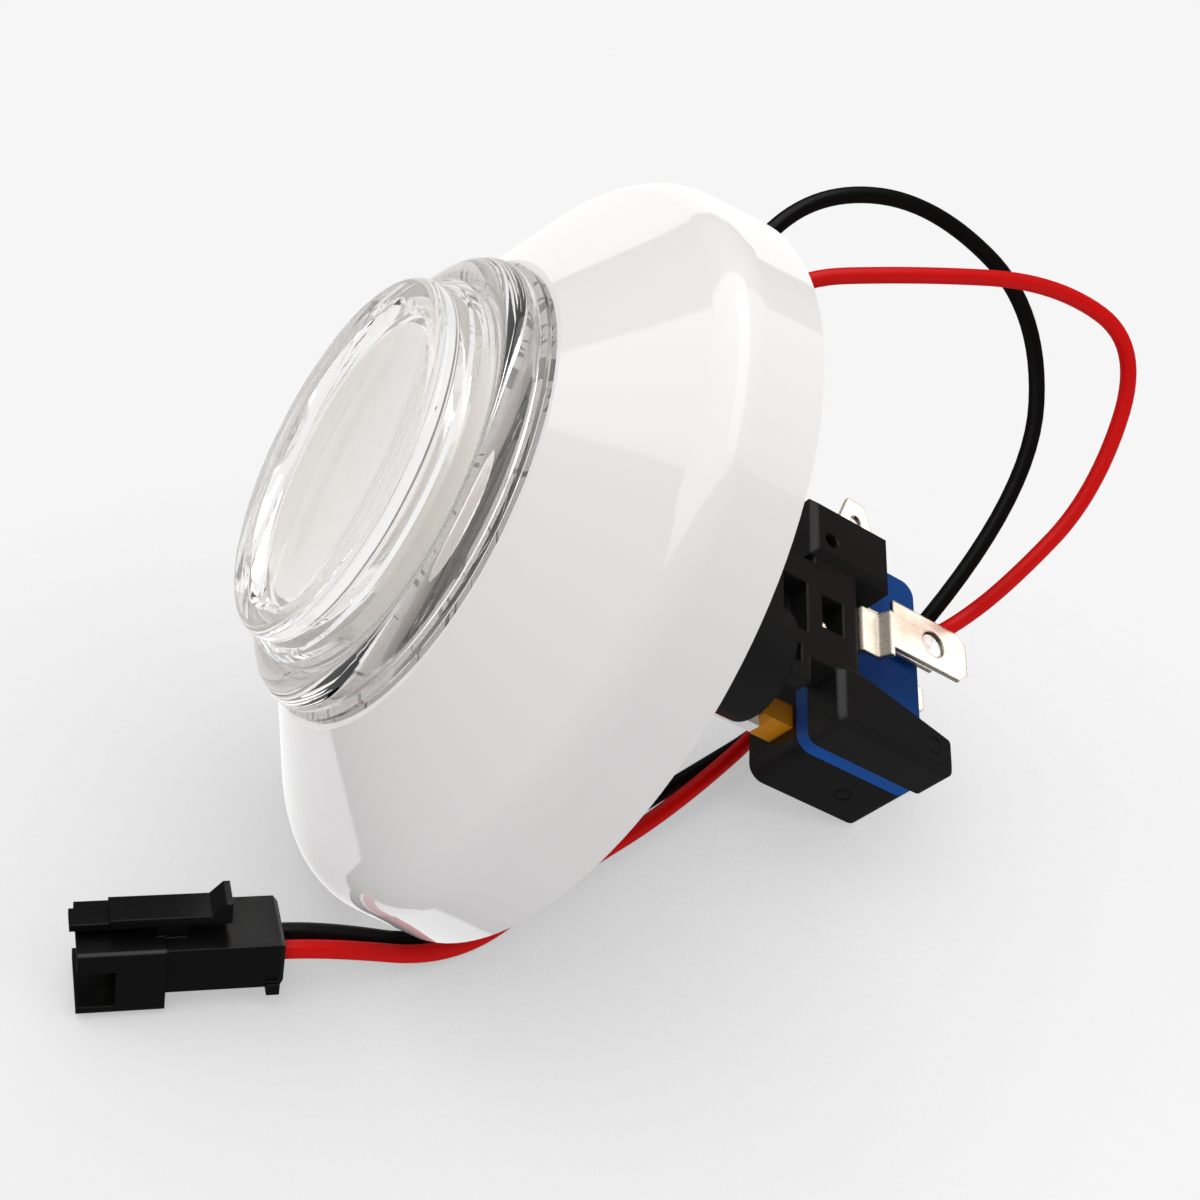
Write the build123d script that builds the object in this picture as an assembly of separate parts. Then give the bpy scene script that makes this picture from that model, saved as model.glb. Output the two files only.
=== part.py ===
"""Lit arcade push button with its panel riser, snap switch, lamp and two-wire lead, in millimetres.

Origin: centre of the riser's back rim plane. +Z: push axis, out of the panel. +X: along the switch.
"""
from build123d import *
import math
import os

# Riser shell
RIM_R = 38.0
WALL = 2.0
SKIRT_DRAFT = 0.6
SKIRT_HEIGHT = 8.7
SKIRT_ROUND = 5.0
SEAT_Z = 17.5
SEAT_MARGIN = 0.6
RECESS_CLEARANCE = 0.3
RECESS_GAP = 0.2
HUB_WALL = 2.25
HUB_BOTTOM_Z = 0.4
HUB_CLEARANCE = 0.25
RIB_COUNT = 6
RIB_THICK = 1.6
RIB_BOTTOM_Z = 1.2

# Push cap, diffuser and stem
TRAVEL = 2.4
CAP_R = 19.4
CAP_PROUD = 8.5
CAP_HEIGHT = 7.2
CAP_STEP_DEPTH = 2.9
CAP_STEP = 0.5
CAP_BEVEL = 0.5
CAP_FACE_INSET = 1.3
CAP_RIM_ROUND = 1.0
CAP_DISH_INSET = 4.2
CAP_DISH_EDGE = 0.6
CAP_DISH_DEPTH = 2.8
CAP_SKIRT_WALL = 2.8
CAP_SKIRT_DEPTH = 1.2
CAP_ROOM_WALL = 3.8
LENS_THICK = 1.8
DIFFUSER_THICK = 1.0
DIFFUSER_GAP = 0.3
DIFFUSER_FOOT_GAP = 0.2
STEM_PLATE_LAP = 0.2
STEM_PLATE_THICK = 1.1
STEM_ROOM = 3.7
STEM_WALL = 1.6
STEM_BOTTOM_Z = -9.0
STEM_LUG_REACH = 1.5
STEM_LUG_WIDTH = 4.0
STEM_LUG_GAP = 0.2
STEM_LUG_HEIGHT = 1.4
LEG_WIDTH = 4.2

# Clear collar and its threaded barrel
CAP_CLEARANCE = 0.3
WELL_WALL = 1.5
WELL_FLOOR_THICK = 1.6
STOP_GAP = 0.3
COLLAR_FLANGE = 2.1
COLLAR_EDGE = 1.0
COLLAR_LIP_STEP = 0.6
COLLAR_RISE = 3.9
COLLAR_LIP_DROP = 0.6
BARREL_R = 13.9
BARREL_WALL = 1.7
BARREL_BOTTOM_Z = -12.5
LEDGE_CLEARANCE = 0.5
LEDGE_TOP_Z = 0.6
LEDGE_THICK = 1.6

# Fixing nut
NUT_WALL = 2.1
NUT_FLANGE = 4.1
NUT_FLANGE_THICK = 1.2
NUT_THICK = 6.0
NUT_CLEARANCE = 0.1

# Return spring
SPRING_CLEARANCE = 1.45
SPRING_WIRE_R = 0.45
SPRING_TURNS = 5

# Snap switch
SWITCH_LENGTH = 27.8
SWITCH_DEPTH = 10.3
SWITCH_HEIGHT = 15.9
SWITCH_NEAR_X = 3.8
SWITCH_TOP_Z = -34.6
SWITCH_CORNER_R = 1.8
SWITCH_WALL = 1.6
SWITCH_FLOOR = 1.3
COVER_THICK = 2.6
PIN_R = 1.45
PIN_CLEARANCE = 0.1
PIN_BOSS_WALL = 1.15
PIN_INSET = 2.8
PIN_LENGTH = 8.5
PUSHER_INSET = 4.3
PUSHER_LENGTH = 2.8
PUSHER_WIDTH = 3.8
PUSHER_PROUD = 3.4
PUSHER_BEVEL = 0.7
PUSHER_CLEARANCE = 0.1
PUSHER_FLANGE_LAP = 0.7
PUSHER_FLANGE_THICK = 1.0
PUSHER_NOSE = 1.2
NOSE_GAP = 0.15
TIP_GAP = 0.1
TERMINAL_THICK = 0.6
TERMINAL_WIDTH = 4.8
TERMINAL_REACH = 9.1
TERMINAL_BEVEL = 1.0
TERMINAL_BEVEL_RUN = 1.5
SLOT_R = 0.8
SLOT_LENGTH = 2.0
SLOT_START = 2.6
COMMON_DEPTH = 10.5
COMMON_INSET = 1.1
COMMON_REACH = 12.0
COMMON_ROOT = 1.6
COMMON_BEVEL = 1.2
COMMON_BEVEL_RUN = 3.0
OPEN_INSET = 10.3
OPEN_TAB_SHIFT = 1.5
CLOSED_INSET = 20.1
CLOSED_RISE = 1.9
CLOSED_LINK_DEPTH = 7.5
CLOSED_LINK_HEAD = 1.5
BLADE_DEPTH = 3.45
BLADE_PIVOT_INSET = 6.0
BLADE_LAP = 1.5
BLADE_THICK = 0.4
BLADE_WIDTH = 4.0
BUTTON_R = 1.1
BUTTON_THICK = 0.5
BLADE_ROLL_R = 0.4
REST_GAP = 0.05
PRESSED_GAP = 0.25

# Lamp holder
HOLDER_HALF = 2.2
DISC_THICK = 1.5
SPIGOT_CLEARANCE = 0.2
SPIGOT_WALL = 2.2
SPIGOT_HEIGHT = 4.0
TOWER_CLEARANCE = 1.3
TOWER_TOP_Z = -4.0
LEG_SLOT_CLEARANCE = 0.4
ARM_LAP = 2.6
ARM_FAR_X = -15.0
ARM_NEAR_X = -2.2
ARM_FOOT_X = 0.5
ARM_SHOULDER_X = -9.0
ARM_SHOULDER_Z = -27.5
BRIDGE_LAP = 1.0
BRIDGE_HEIGHT = 6.0
RAIL_X = 1.0
RAIL_END_Z = -30.4
RAIL_THICK = 2.0
RAIL_SLOT = ((-3.4, -1.0), (-29.2, -23.3))
WINDOWS = [((-11.3, -7.0), (-35.2, -32.2)), ((-11.8, -5.3), (-30.1, -26.8))]
WINDOW_DEPTH = 2.8
DRUM_CLEARANCE = 0.5
DRUM_BOTTOM_Z = -25.0
CHEEK_LENGTH = 7.8
CHEEK_OVERHANG = 0.8
CHEEK_PROUD = 0.7
CHEEK_FOOT = 0.2
CHEEK_FOOT_LENGTH = 4.8
CHEEK_ROUND = 1.2
BLOCK_INSET = 0.4
BLOCK_LENGTH = 7.6
PAD_PROUD = 0.8
BLOCK_RISE = 4.1
BLOCK_DROP = 7.4
BLOCK_HOLE_INSET = 2.6
BLOCK_HOLE_DEPTH = 2.5
BLOCK_HOLE_R = 0.9
BEVEL = 0.7

# Lamp and its contacts
STRIP_THICK = 0.5
STRIP_SOCKET_HALF = 2.9
STRIP_INSET = 1.5
STRIP_Y = 0.6
STRIP_FAR_X = -12.3
STRIP_WIDTH = 5.8
STRIP_NECK_NEAR = [(-3.9, -22.4), (-3.9, -30.5), (-5.2, -32.0), (-5.2, -36.0)]
STRIP_NECK_FAR = [(-7.0, -35.5), (-7.0, -34.2), (-8.6, -33.6), (-8.6, -32.4), (-4.8, -30.5), (-4.8, -23.4)]
STRIP_HEAD = 1.0
STRIP_PROUD = 0.5
DOGLEG_Z = (-24.0, -15.0)
STEP_RISE = 1.4
STEP_RUN = 0.6
STEP_TREAD = 2.2
TAB_WIDTH = 6.3
TAB_NEAR_X = -7.6
TAB_LENGTH = 10.9
TAB_CHAMFER = 1.2
TAB_HOLE_R = 1.6
TAB_HOLE_FROM_END = 5.0
REAR_STRIP_INSET = 1.5
REAR_BEND_START = 1.0
REAR_BEND_END = 5.0
REAR_TAIL_FAR_X = -16.5
REAR_TAIL_WIDTH = 4.3
WEDGE_THICK = 1.9
WEDGE_DEPTH = 9.0
WEDGE_WALL = 0.9
LAMP_COLLAR_STEP = 0.7
LAMP_COLLAR_HEIGHT = 2.5
LENS_STEP = 0.4
LENS_HEIGHT = 7.5

# Plug, in its own frame: x to its mating end, z up off the table
PLUG_ORIGIN = (35.9, -29.2, 9.0)
PLUG_FORWARD = (0.225, -0.384, 0.895)
PLUG_UP = (-0.3933, 0.8051, 0.4441)
PLUG_REAR_LENGTH = 11.7
PLUG_REAR_WIDTH = 7.2
PLUG_REAR_Z = (1.8, 6.6)
PLUG_REAR_BEVEL = 0.4
PLUG_STOP_X = (0.4, 1.6)
PLUG_STOP_Z = (1.2, 2.4)
PLUG_SHROUD_X = (10.7, 18.5)
PLUG_SHROUD_WIDTH = 8.2
PLUG_SHROUD_TOP = 6.8
PLUG_SHROUD_WALL = 0.9
PLUG_SHROUD_ROUND = 0.6
PLUG_SHROUD_FLOOR = 1.0
PLUG_SIDE_NOTCH = 3.4
PLUG_SIDE_NOTCH_Z = (1.0, 4.9)
PLUG_PITCH = 2.5
PLUG_WIRE_Z = 4.1
CRIMP = 1.8
CRIMP_LENGTH = 11.0
PIN_THICK = 0.64
PLUG_PIN_END = 16.5
LATCH_WIDTH = 3.4
LATCH_THICK = 0.9
LATCH_GAP = 1.1
LATCH_X = (4.8, 15.6)
LATCH_GRIP_RUN = 1.8
LATCH_GRIP_HEIGHT = 1.3
LATCH_POST_X = (8.8, 11.4)
LATCH_POST_LAP = 0.4
TONGUE_WIDTH = 2.4
TONGUE_END = 19.1
TONGUE_THICK = 0.7
TONGUE_DROP = 0.5

# Wires
WIRE_D = 1.8
WIRE_STRAIGHT = 4.0
WIRE_SINK = 0.3
BEND_SHARE = 0.45
RED_START_INSET = 1.9
RED_GAP = 0.02
BLACK_START_FROM_END = 4.0
RED_ROUTE = [(-15.6, 2.55, -51.2), (-19.0, 9.5, -53.6), (-27.5, 19.8, -57.4), (-40.2, 31.2, -54.6),
             (-42.3, 30.6, -41.5), (-38.0, 24.6, -26.0), (-34.5, 17.0, -12.5), (-33.0, 2.0, -17.0),
             (-37.0, -9.5, -31.0), (-29.5, -17.5, -44.5), (-15.0, -18.6, -46.8), (5.1, -21.3, -31.2),
             (18.4, -22.3, -17.5), (31.6, -22.25, -6.3)]
BLACK_ROUTE = [(-28.0, 14.5, -53.0), (-45.5, 24.5, -46.0), (-49.5, 26.0, -28.0), (-46.0, 21.5, -15.0),
               (-36.0, 15.0, -9.0), (-37.0, 1.0, -14.0), (-41.0, -10.0, -29.0), (-33.0, -18.0, -45.0),
               (-17.0, -20.8, -50.5), (3.3, -23.0, -29.9), (16.9, -23.8, -16.4), (30.2, -23.75, -5.1)]

# Places that follow from the sizes above
COLLAR_BORE_R = CAP_R + CAP_CLEARANCE
WELL_R = COLLAR_BORE_R + WELL_WALL
COLLAR_R = WELL_R + COLLAR_FLANGE
SEAT_R = COLLAR_R + SEAT_MARGIN
RECESS_R = WELL_R + RECESS_CLEARANCE
CAP_FRONT_Z = SEAT_Z + CAP_PROUD
CAP_BOTTOM_Z = CAP_FRONT_Z - CAP_HEIGHT
CAP_SKIRT_BORE_R = CAP_R - CAP_SKIRT_WALL
CAP_SKIRT_TOP_Z = CAP_BOTTOM_Z + CAP_SKIRT_DEPTH
CAP_ROOM_R = CAP_R - CAP_ROOM_WALL
CAP_DISH_RIM = (CAP_R - CAP_DISH_INSET, CAP_FRONT_Z - CAP_DISH_EDGE)
CAP_DISH_CENTRE_Z = CAP_DISH_RIM[1] - CAP_DISH_DEPTH
DIFFUSER_R = CAP_SKIRT_BORE_R - DIFFUSER_FOOT_GAP
STEM_PLATE_TOP_Z = CAP_BOTTOM_Z + STEM_PLATE_LAP
STEM_PLATE_UNDER_Z = STEM_PLATE_TOP_Z - STEM_PLATE_THICK
BARREL_BORE_R = BARREL_R - BARREL_WALL
STEM_R = BARREL_BORE_R - STEM_ROOM
STEM_BORE_R = STEM_R - STEM_WALL
WELL_FLOOR_Z = STEM_PLATE_UNDER_Z - TRAVEL - STOP_GAP
WELL_UNDER_Z = WELL_FLOOR_Z - WELL_FLOOR_THICK
RECESS_FLOOR_Z = WELL_UNDER_Z - RECESS_GAP
LEDGE_R = STEM_R + LEDGE_CLEARANCE
LEDGE_UNDER_Z = LEDGE_TOP_Z - LEDGE_THICK
HOLDER_Y = (-HOLDER_HALF, HOLDER_HALF)
SWITCH_X = (SWITCH_NEAR_X - SWITCH_LENGTH, SWITCH_NEAR_X)
SWITCH_Y = (HOLDER_Y[0] - SWITCH_DEPTH, HOLDER_Y[0])
SWITCH_Z = (SWITCH_TOP_Z - SWITCH_HEIGHT, SWITCH_TOP_Z)
SWITCH_MID_Y = (SWITCH_Y[0] + SWITCH_Y[1]) / 2
PARTING_Y = SWITCH_Y[1] - COVER_THICK
PUSHER_X = SWITCH_NEAR_X - PUSHER_INSET
PUSHER_TIP_Z = SWITCH_TOP_Z + PUSHER_PROUD
TERMINAL_END_Z = SWITCH_Z[0] - TERMINAL_REACH
COMMON_Z = SWITCH_TOP_Z - COMMON_DEPTH
COMMON_END_X = SWITCH_X[0] - COMMON_REACH
COMMON_Y = PARTING_Y - COMMON_INSET
OPEN_X = SWITCH_NEAR_X - OPEN_INSET
CLOSED_X = SWITCH_NEAR_X - CLOSED_INSET
CLOSED_Y = SWITCH_Y[0] + CLOSED_RISE
BLADE_TOP_Z = SWITCH_TOP_Z - BLADE_DEPTH
BLADE_UNDER_Z = BLADE_TOP_Z - BLADE_THICK
BLADE_PIVOT_X = SWITCH_X[0] + BLADE_PIVOT_INSET
BLADE_PIVOT_Z = (BLADE_TOP_Z + BLADE_UNDER_Z) / 2
TOWER_R = STEM_BORE_R - TOWER_CLEARANCE
ARM_REAR_Z = SWITCH_TOP_Z - ARM_LAP
CHEEK_X = (SWITCH_NEAR_X + CHEEK_OVERHANG - CHEEK_LENGTH, SWITCH_NEAR_X + CHEEK_OVERHANG)
CHEEK_Z = (SWITCH_Z[0] + CHEEK_FOOT, SWITCH_TOP_Z + CHEEK_PROUD)
BLOCK_X = (SWITCH_X[0] + BLOCK_INSET, SWITCH_X[0] + BLOCK_INSET + BLOCK_LENGTH)
PAD_Y = (HOLDER_Y[0], HOLDER_Y[1] + PAD_PROUD)
BLOCK_Z = (SWITCH_TOP_Z - BLOCK_DROP, SWITCH_TOP_Z + BLOCK_RISE)
REAR_STRIP_Y = STRIP_Y - WEDGE_THICK - STRIP_THICK
STRIP_FRONT_Z = TOWER_TOP_Z - STRIP_INSET
STRIP_X = (STRIP_FAR_X, STRIP_FAR_X + STRIP_WIDTH)
STRIP_END_Z = ARM_REAR_Z - STRIP_PROUD
TAB_X = (TAB_NEAR_X - TAB_WIDTH, TAB_NEAR_X)
TAB_START_Z = STRIP_END_Z - 2 * STEP_RUN - STEP_TREAD
TAB_END_Z = TAB_START_Z - TAB_LENGTH
REAR_TAIL_X = (REAR_TAIL_FAR_X, REAR_TAIL_FAR_X + REAR_TAIL_WIDTH)
LAMP_COLLAR_R = TOWER_R - LAMP_COLLAR_STEP
LAMP_COLLAR_TOP_Z = TOWER_TOP_Z + LAMP_COLLAR_HEIGHT
RED_START = (TAB_X[0] + RED_START_INSET, STRIP_Y + 2 * STEP_RISE - WIRE_D / 2 - RED_GAP,
             TAB_END_Z + TAB_HOLE_FROM_END)
BLACK_START = (sum(REAR_TAIL_X) / 2, REAR_STRIP_Y + STRIP_THICK + WIRE_D / 2 - WIRE_SINK,
               TAB_END_Z + BLACK_START_FROM_END)


def span(x, y, z):
    """Box between two limits on each axis."""
    size = [high - low for low, high in (x, y, z)]
    centre = [(high + low) / 2 for low, high in (x, y, z)]
    return Pos(*centre) * Box(*size)


def about(middle, width):
    """Limits of a width about a middle."""
    return (middle - width / 2, middle + width / 2)


def plate(points, y):
    """Flat plate with an outline in X and Z, between two Y limits."""
    outline = make_face(Polyline(*points, close=True))
    return extrude(Plane((0, y[1], 0), x_dir=(1, 0, 0), z_dir=(0, -1, 0)) * outline, y[1] - y[0])


def rectangle(x, z):
    """Corner points of an X-Z rectangle."""
    return [(x[0], z[0]), (x[1], z[0]), (x[1], z[1]), (x[0], z[1])]


def turned(edges):
    """Solid of revolution about Z from edges drawn as (radius, height)."""
    return revolve(Plane.XZ * make_face(edges), Axis.Z)


def ring(inner, outer, z):
    """Plain ring between two radii and two heights."""
    return turned(Polyline((inner, z[0]), (outer, z[0]), (outer, z[1]), (inner, z[1]), close=True))


def rod(radius, x, z, y):
    """Round rod along Y."""
    return Pos(x, (y[0] + y[1]) / 2, z) * Rot(90, 0, 0) * Cylinder(radius, y[1] - y[0])


def post(radius, x, y, z):
    """Round post along Z."""
    return Pos(x, y, (z[0] + z[1]) / 2) * Cylinder(radius, z[1] - z[0])


def pin_places():
    """Centres of the two switch mounting holes in X and Z."""
    far = (SWITCH_X[0] + PIN_INSET, SWITCH_Z[1] - PIN_INSET)
    near = (SWITCH_X[1] - PIN_INSET, SWITCH_Z[0] + PIN_INSET)
    return [far, near]


def leg_block(width, z):
    """Block over the stem's wall on the side of the switch pusher."""
    angle = math.degrees(math.atan2(SWITCH_MID_Y, PUSHER_X))
    return Rot(0, 0, angle) * span((0, 2 * STEM_R), about(0, width), z)


def outer_shell():
    """White riser: skirt, soft edge, cone, recessed seat, hub and ribs."""
    corner = (RIM_R - SKIRT_DRAFT, SKIRT_HEIGHT)
    cone = math.atan2(SEAT_Z - corner[1], corner[0] - SEAT_R)
    drop = WALL / math.cos(cone)
    under = RECESS_FLOOR_Z - WALL
    hole = BARREL_R + HUB_CLEARANCE
    hub = hole + HUB_WALL
    inner_corner = (corner[0] - WALL, corner[1] + WALL * math.tan(cone) - drop)
    inner_top = (RECESS_R + WALL, SEAT_Z + (SEAT_R - RECESS_R - WALL) * math.tan(cone) - drop)
    outside = FilletPolyline((RIM_R, 0), corner, (SEAT_R, SEAT_Z), radius=SKIRT_ROUND)
    seat = Polyline((SEAT_R, SEAT_Z), (RECESS_R, SEAT_Z), (RECESS_R, RECESS_FLOOR_Z),
                    (hole, RECESS_FLOOR_Z), (hole, HUB_BOTTOM_Z), (hub, HUB_BOTTOM_Z), (hub, under),
                    (RECESS_R + WALL, under), inner_top)
    inside = FilletPolyline(inner_top, inner_corner, (RIM_R - WALL, 0), radius=SKIRT_ROUND - WALL)
    shell = turned(outside + seat + inside + Line((RIM_R - WALL, 0), (RIM_R, 0)))
    lap = WALL / 2
    web = [(hub - lap, RIB_BOTTOM_Z), (RIM_R - lap, RIB_BOTTOM_Z),
           (inner_corner[0], inner_corner[1] + drop / 2),
           (inner_top[0] - lap, inner_top[1] + drop / 2 + lap * math.tan(cone)),
           (inner_top[0] - lap, under + lap), (hub - lap, under + lap)]
    rib = plate(web, about(0, RIB_THICK))
    for turn in PolarLocations(0, RIB_COUNT, start_angle=180 / RIB_COUNT):
        shell += turn * rib
    return shell


def collar():
    """Clear bezel with its well and barrel in one moulding."""
    crest_z = SEAT_Z + COLLAR_RISE
    edge_top = SEAT_Z + COLLAR_EDGE
    lip_start = (COLLAR_R - COLLAR_LIP_STEP, edge_top + COLLAR_LIP_STEP / 2)
    lip_end = (COLLAR_BORE_R, crest_z - COLLAR_LIP_DROP)
    crest = ((lip_start[0] + lip_end[0]) / 2 + COLLAR_LIP_STEP / 2, crest_z)
    front = Polyline((WELL_R, SEAT_Z), (COLLAR_R, SEAT_Z), (COLLAR_R, edge_top), lip_start)
    lip = ThreePointArc(lip_start, crest, lip_end)
    inside = Polyline(lip_end, (COLLAR_BORE_R, WELL_FLOOR_Z), (BARREL_BORE_R, WELL_FLOOR_Z),
                      (BARREL_BORE_R, LEDGE_TOP_Z), (LEDGE_R, LEDGE_TOP_Z), (LEDGE_R, LEDGE_UNDER_Z),
                      (BARREL_BORE_R, LEDGE_UNDER_Z), (BARREL_BORE_R, BARREL_BOTTOM_Z))
    back = Polyline((BARREL_BORE_R, BARREL_BOTTOM_Z), (BARREL_R, BARREL_BOTTOM_Z), (BARREL_R, WELL_UNDER_Z),
                    (WELL_R, WELL_UNDER_Z), (WELL_R, SEAT_Z))
    return turned(front + lip + inside + back)


def fixing_nut():
    """Six-sided flanged nut drawn up against the shell's hub."""
    bore = BARREL_R + NUT_CLEARANCE
    z = (HUB_BOTTOM_Z - NUT_THICK, HUB_BOTTOM_Z)
    hexagon = RegularPolygon(BARREL_R + NUT_WALL, 6, major_radius=False)
    body = Pos(0, 0, z[0]) * extrude(hexagon, NUT_THICK)
    body += ring(bore, BARREL_R + NUT_FLANGE, (z[1] - NUT_FLANGE_THICK, z[1]))
    return body - post(bore, 0, 0, z)


def dish(edge, centre_z):
    """Arc of a dished face from its edge point to the axis."""
    rise = edge[1] - centre_z
    radius = (edge[0] ** 2 + rise ** 2) / (2 * rise)
    half_angle = math.asin(edge[0] / radius) / 2
    middle = (radius * math.sin(half_angle), centre_z + radius * (1 - math.cos(half_angle)))
    return ThreePointArc(edge, middle, (0, centre_z))


def cap_underside():
    """Edge point and centre height of the clear face's back."""
    edge = (CAP_ROOM_R - CAP_RIM_ROUND, CAP_DISH_RIM[1] - LENS_THICK - CAP_RIM_ROUND)
    return edge, CAP_DISH_CENTRE_Z - LENS_THICK


def plunger_cap():
    """Clear push cap: stepped wall, raised front rim and concave face."""
    step_r = CAP_R - CAP_STEP
    face_r = CAP_R - CAP_FACE_INSET
    step_z = CAP_FRONT_Z - CAP_STEP_DEPTH
    rim_foot = (face_r, CAP_FRONT_Z - CAP_RIM_ROUND)
    rim_top = (face_r - CAP_RIM_ROUND, CAP_FRONT_Z)
    outside = Polyline((CAP_SKIRT_BORE_R, CAP_BOTTOM_Z), (CAP_R, CAP_BOTTOM_Z),
                       (CAP_R, step_z - CAP_BEVEL), (step_r, step_z), (step_r, step_z + CAP_BEVEL),
                       (face_r, step_z + 2 * CAP_BEVEL), rim_foot)
    round_over = RadiusArc(rim_foot, rim_top, -CAP_RIM_ROUND)
    rim = Polyline(rim_top, (CAP_DISH_RIM[0] + CAP_BEVEL, CAP_FRONT_Z), CAP_DISH_RIM)
    under_edge, under_centre = cap_underside()
    axis = Line((0, CAP_DISH_CENTRE_Z), (0, under_centre))
    inside = Polyline(under_edge, (CAP_ROOM_R, under_edge[1] - CAP_BEVEL), (CAP_ROOM_R, CAP_SKIRT_TOP_Z),
                      (CAP_SKIRT_BORE_R, CAP_SKIRT_TOP_Z), (CAP_SKIRT_BORE_R, CAP_BOTTOM_Z))
    face = dish(CAP_DISH_RIM, CAP_DISH_CENTRE_Z)
    return turned(outside + round_over + rim + face + axis + dish(under_edge, under_centre) + inside)


def diffuser():
    """White dish that follows the back of the clear face and stands on the stem plate."""
    under_edge, under_centre = cap_underside()
    top_edge = (under_edge[0], under_edge[1] - DIFFUSER_GAP)
    top_centre = under_centre - DIFFUSER_GAP
    low_edge = (top_edge[0] - DIFFUSER_THICK, top_edge[1] - DIFFUSER_THICK)
    low_centre = top_centre - DIFFUSER_THICK
    wall = CAP_ROOM_R - DIFFUSER_GAP
    outside = Polyline((low_edge[0], STEM_PLATE_TOP_Z), (DIFFUSER_R, STEM_PLATE_TOP_Z),
                       (DIFFUSER_R, CAP_SKIRT_TOP_Z), (wall, CAP_SKIRT_TOP_Z),
                       (wall, top_edge[1] - CAP_BEVEL), top_edge)
    axis = Line((0, top_centre), (0, low_centre))
    inside = Line(low_edge, (low_edge[0], STEM_PLATE_TOP_Z))
    return turned(outside + dish(top_edge, top_centre) + axis + dish(low_edge, low_centre) + inside)


def plunger_stem():
    """White stem: plate under the cap, guide tube, two stop lugs and the leg to the switch."""
    tube = ring(STEM_BORE_R, STEM_R, (STEM_BOTTOM_Z, STEM_PLATE_TOP_Z))
    stem = tube + ring(STEM_BORE_R, DIFFUSER_R, (STEM_PLATE_UNDER_Z, STEM_PLATE_TOP_Z))
    lug_r = STEM_R + STEM_LUG_REACH
    lug_top = LEDGE_UNDER_Z - STEM_LUG_GAP
    lug_z = (lug_top - STEM_LUG_HEIGHT, lug_top)
    stem += span((-lug_r, lug_r), about(0, STEM_LUG_WIDTH), lug_z) & ring(STEM_BORE_R, lug_r, lug_z)
    leg_z = (PUSHER_TIP_Z + TIP_GAP, STEM_BOTTOM_Z)
    return stem + (leg_block(LEG_WIDTH, leg_z) & ring(STEM_BORE_R, STEM_R, leg_z))


def return_spring():
    """Open coil between the barrel's ledge and the stem plate."""
    low = LEDGE_TOP_Z + SPRING_WIRE_R
    height = STEM_PLATE_UNDER_Z - SPRING_WIRE_R - low
    radius = STEM_R + SPRING_CLEARANCE + SPRING_WIRE_R
    path = Helix(height / SPRING_TURNS, height, radius, center=(0, 0, low))
    section = Plane(path @ 0, z_dir=path % 0) * Circle(SPRING_WIRE_R)
    return sweep(section, path=path, is_frenet=True)


def lamp_contact_front():
    """Stamped strip from the lamp socket, joggled up into the wide tab."""
    half = STRIP_SOCKET_HALF
    head_z = ARM_REAR_Z + STRIP_HEAD
    high = (STRIP_Y + 2 * STEP_RISE, STRIP_Y + 2 * STEP_RISE + STRIP_THICK)
    lead = [(-half, STRIP_FRONT_Z), (half, STRIP_FRONT_Z), (half, DOGLEG_Z[1]), *STRIP_NECK_NEAR,
            (STRIP_X[1], head_z), (STRIP_X[1], STRIP_END_Z), (STRIP_X[0], STRIP_END_Z),
            (STRIP_X[0], head_z), *STRIP_NECK_FAR, (-half, DOGLEG_Z[1])]
    foot_z = (STRIP_END_Z, STRIP_END_Z - STEP_RUN, TAB_START_Z + STEP_RUN, TAB_START_Z)
    tread_y = STRIP_Y + STEP_RISE
    under = [(STRIP_Y, foot_z[0]), (tread_y, foot_z[1]), (tread_y, foot_z[2]), (high[0], foot_z[3])]
    over = [(y + STRIP_THICK, z + STRIP_THICK) for y, z in reversed(under)]
    side = Plane((STRIP_X[0], 0, 0), x_dir=(0, 1, 0), z_dir=(1, 0, 0))
    strip = plate(lead, (STRIP_Y, STRIP_Y + STRIP_THICK))
    strip += extrude(side * make_face(Polyline(*under, (high[1], foot_z[3]), *over, close=True)), STRIP_WIDTH)
    outline = [(TAB_X[0], TAB_START_Z), (TAB_X[1], TAB_START_Z), (TAB_X[1], TAB_END_Z + TAB_CHAMFER),
               (TAB_X[1] - TAB_CHAMFER, TAB_END_Z), (TAB_X[0] + TAB_CHAMFER, TAB_END_Z),
               (TAB_X[0], TAB_END_Z + TAB_CHAMFER)]
    hole = rod(TAB_HOLE_R, sum(TAB_X) / 2, TAB_END_Z + TAB_HOLE_FROM_END, high)
    return strip + plate(outline, high) - hole


def lamp_contact_rear():
    """Flat strip from the other side of the socket to a tail behind the tab."""
    half = STRIP_SOCKET_HALF
    x = (STRIP_X[0] + REAR_STRIP_INSET / 3, STRIP_X[1] - REAR_STRIP_INSET)
    bend = (ARM_REAR_Z - REAR_BEND_START, ARM_REAR_Z - REAR_BEND_END)
    outline = [(-half, STRIP_FRONT_Z), (half, STRIP_FRONT_Z), (half, DOGLEG_Z[1]), (x[1], DOGLEG_Z[0]),
               (x[1], bend[0]), (REAR_TAIL_X[1], bend[1]), (REAR_TAIL_X[1], TAB_END_Z),
               (REAR_TAIL_X[0], TAB_END_Z), (REAR_TAIL_X[0], bend[1]), (x[0], bend[0]),
               (x[0], DOGLEG_Z[0]), (-half, DOGLEG_Z[1])]
    return plate(outline, (REAR_STRIP_Y, REAR_STRIP_Y + STRIP_THICK))


def lamp_base():
    """Wedge base that stands in the socket between the two contacts."""
    half = TOWER_R - WEDGE_WALL
    wedge = span((-half, half), (REAR_STRIP_Y + STRIP_THICK, STRIP_Y),
                 (TOWER_TOP_Z - WEDGE_DEPTH, TOWER_TOP_Z))
    return wedge + post(LAMP_COLLAR_R, 0, 0, (TOWER_TOP_Z, LAMP_COLLAR_TOP_Z))


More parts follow.
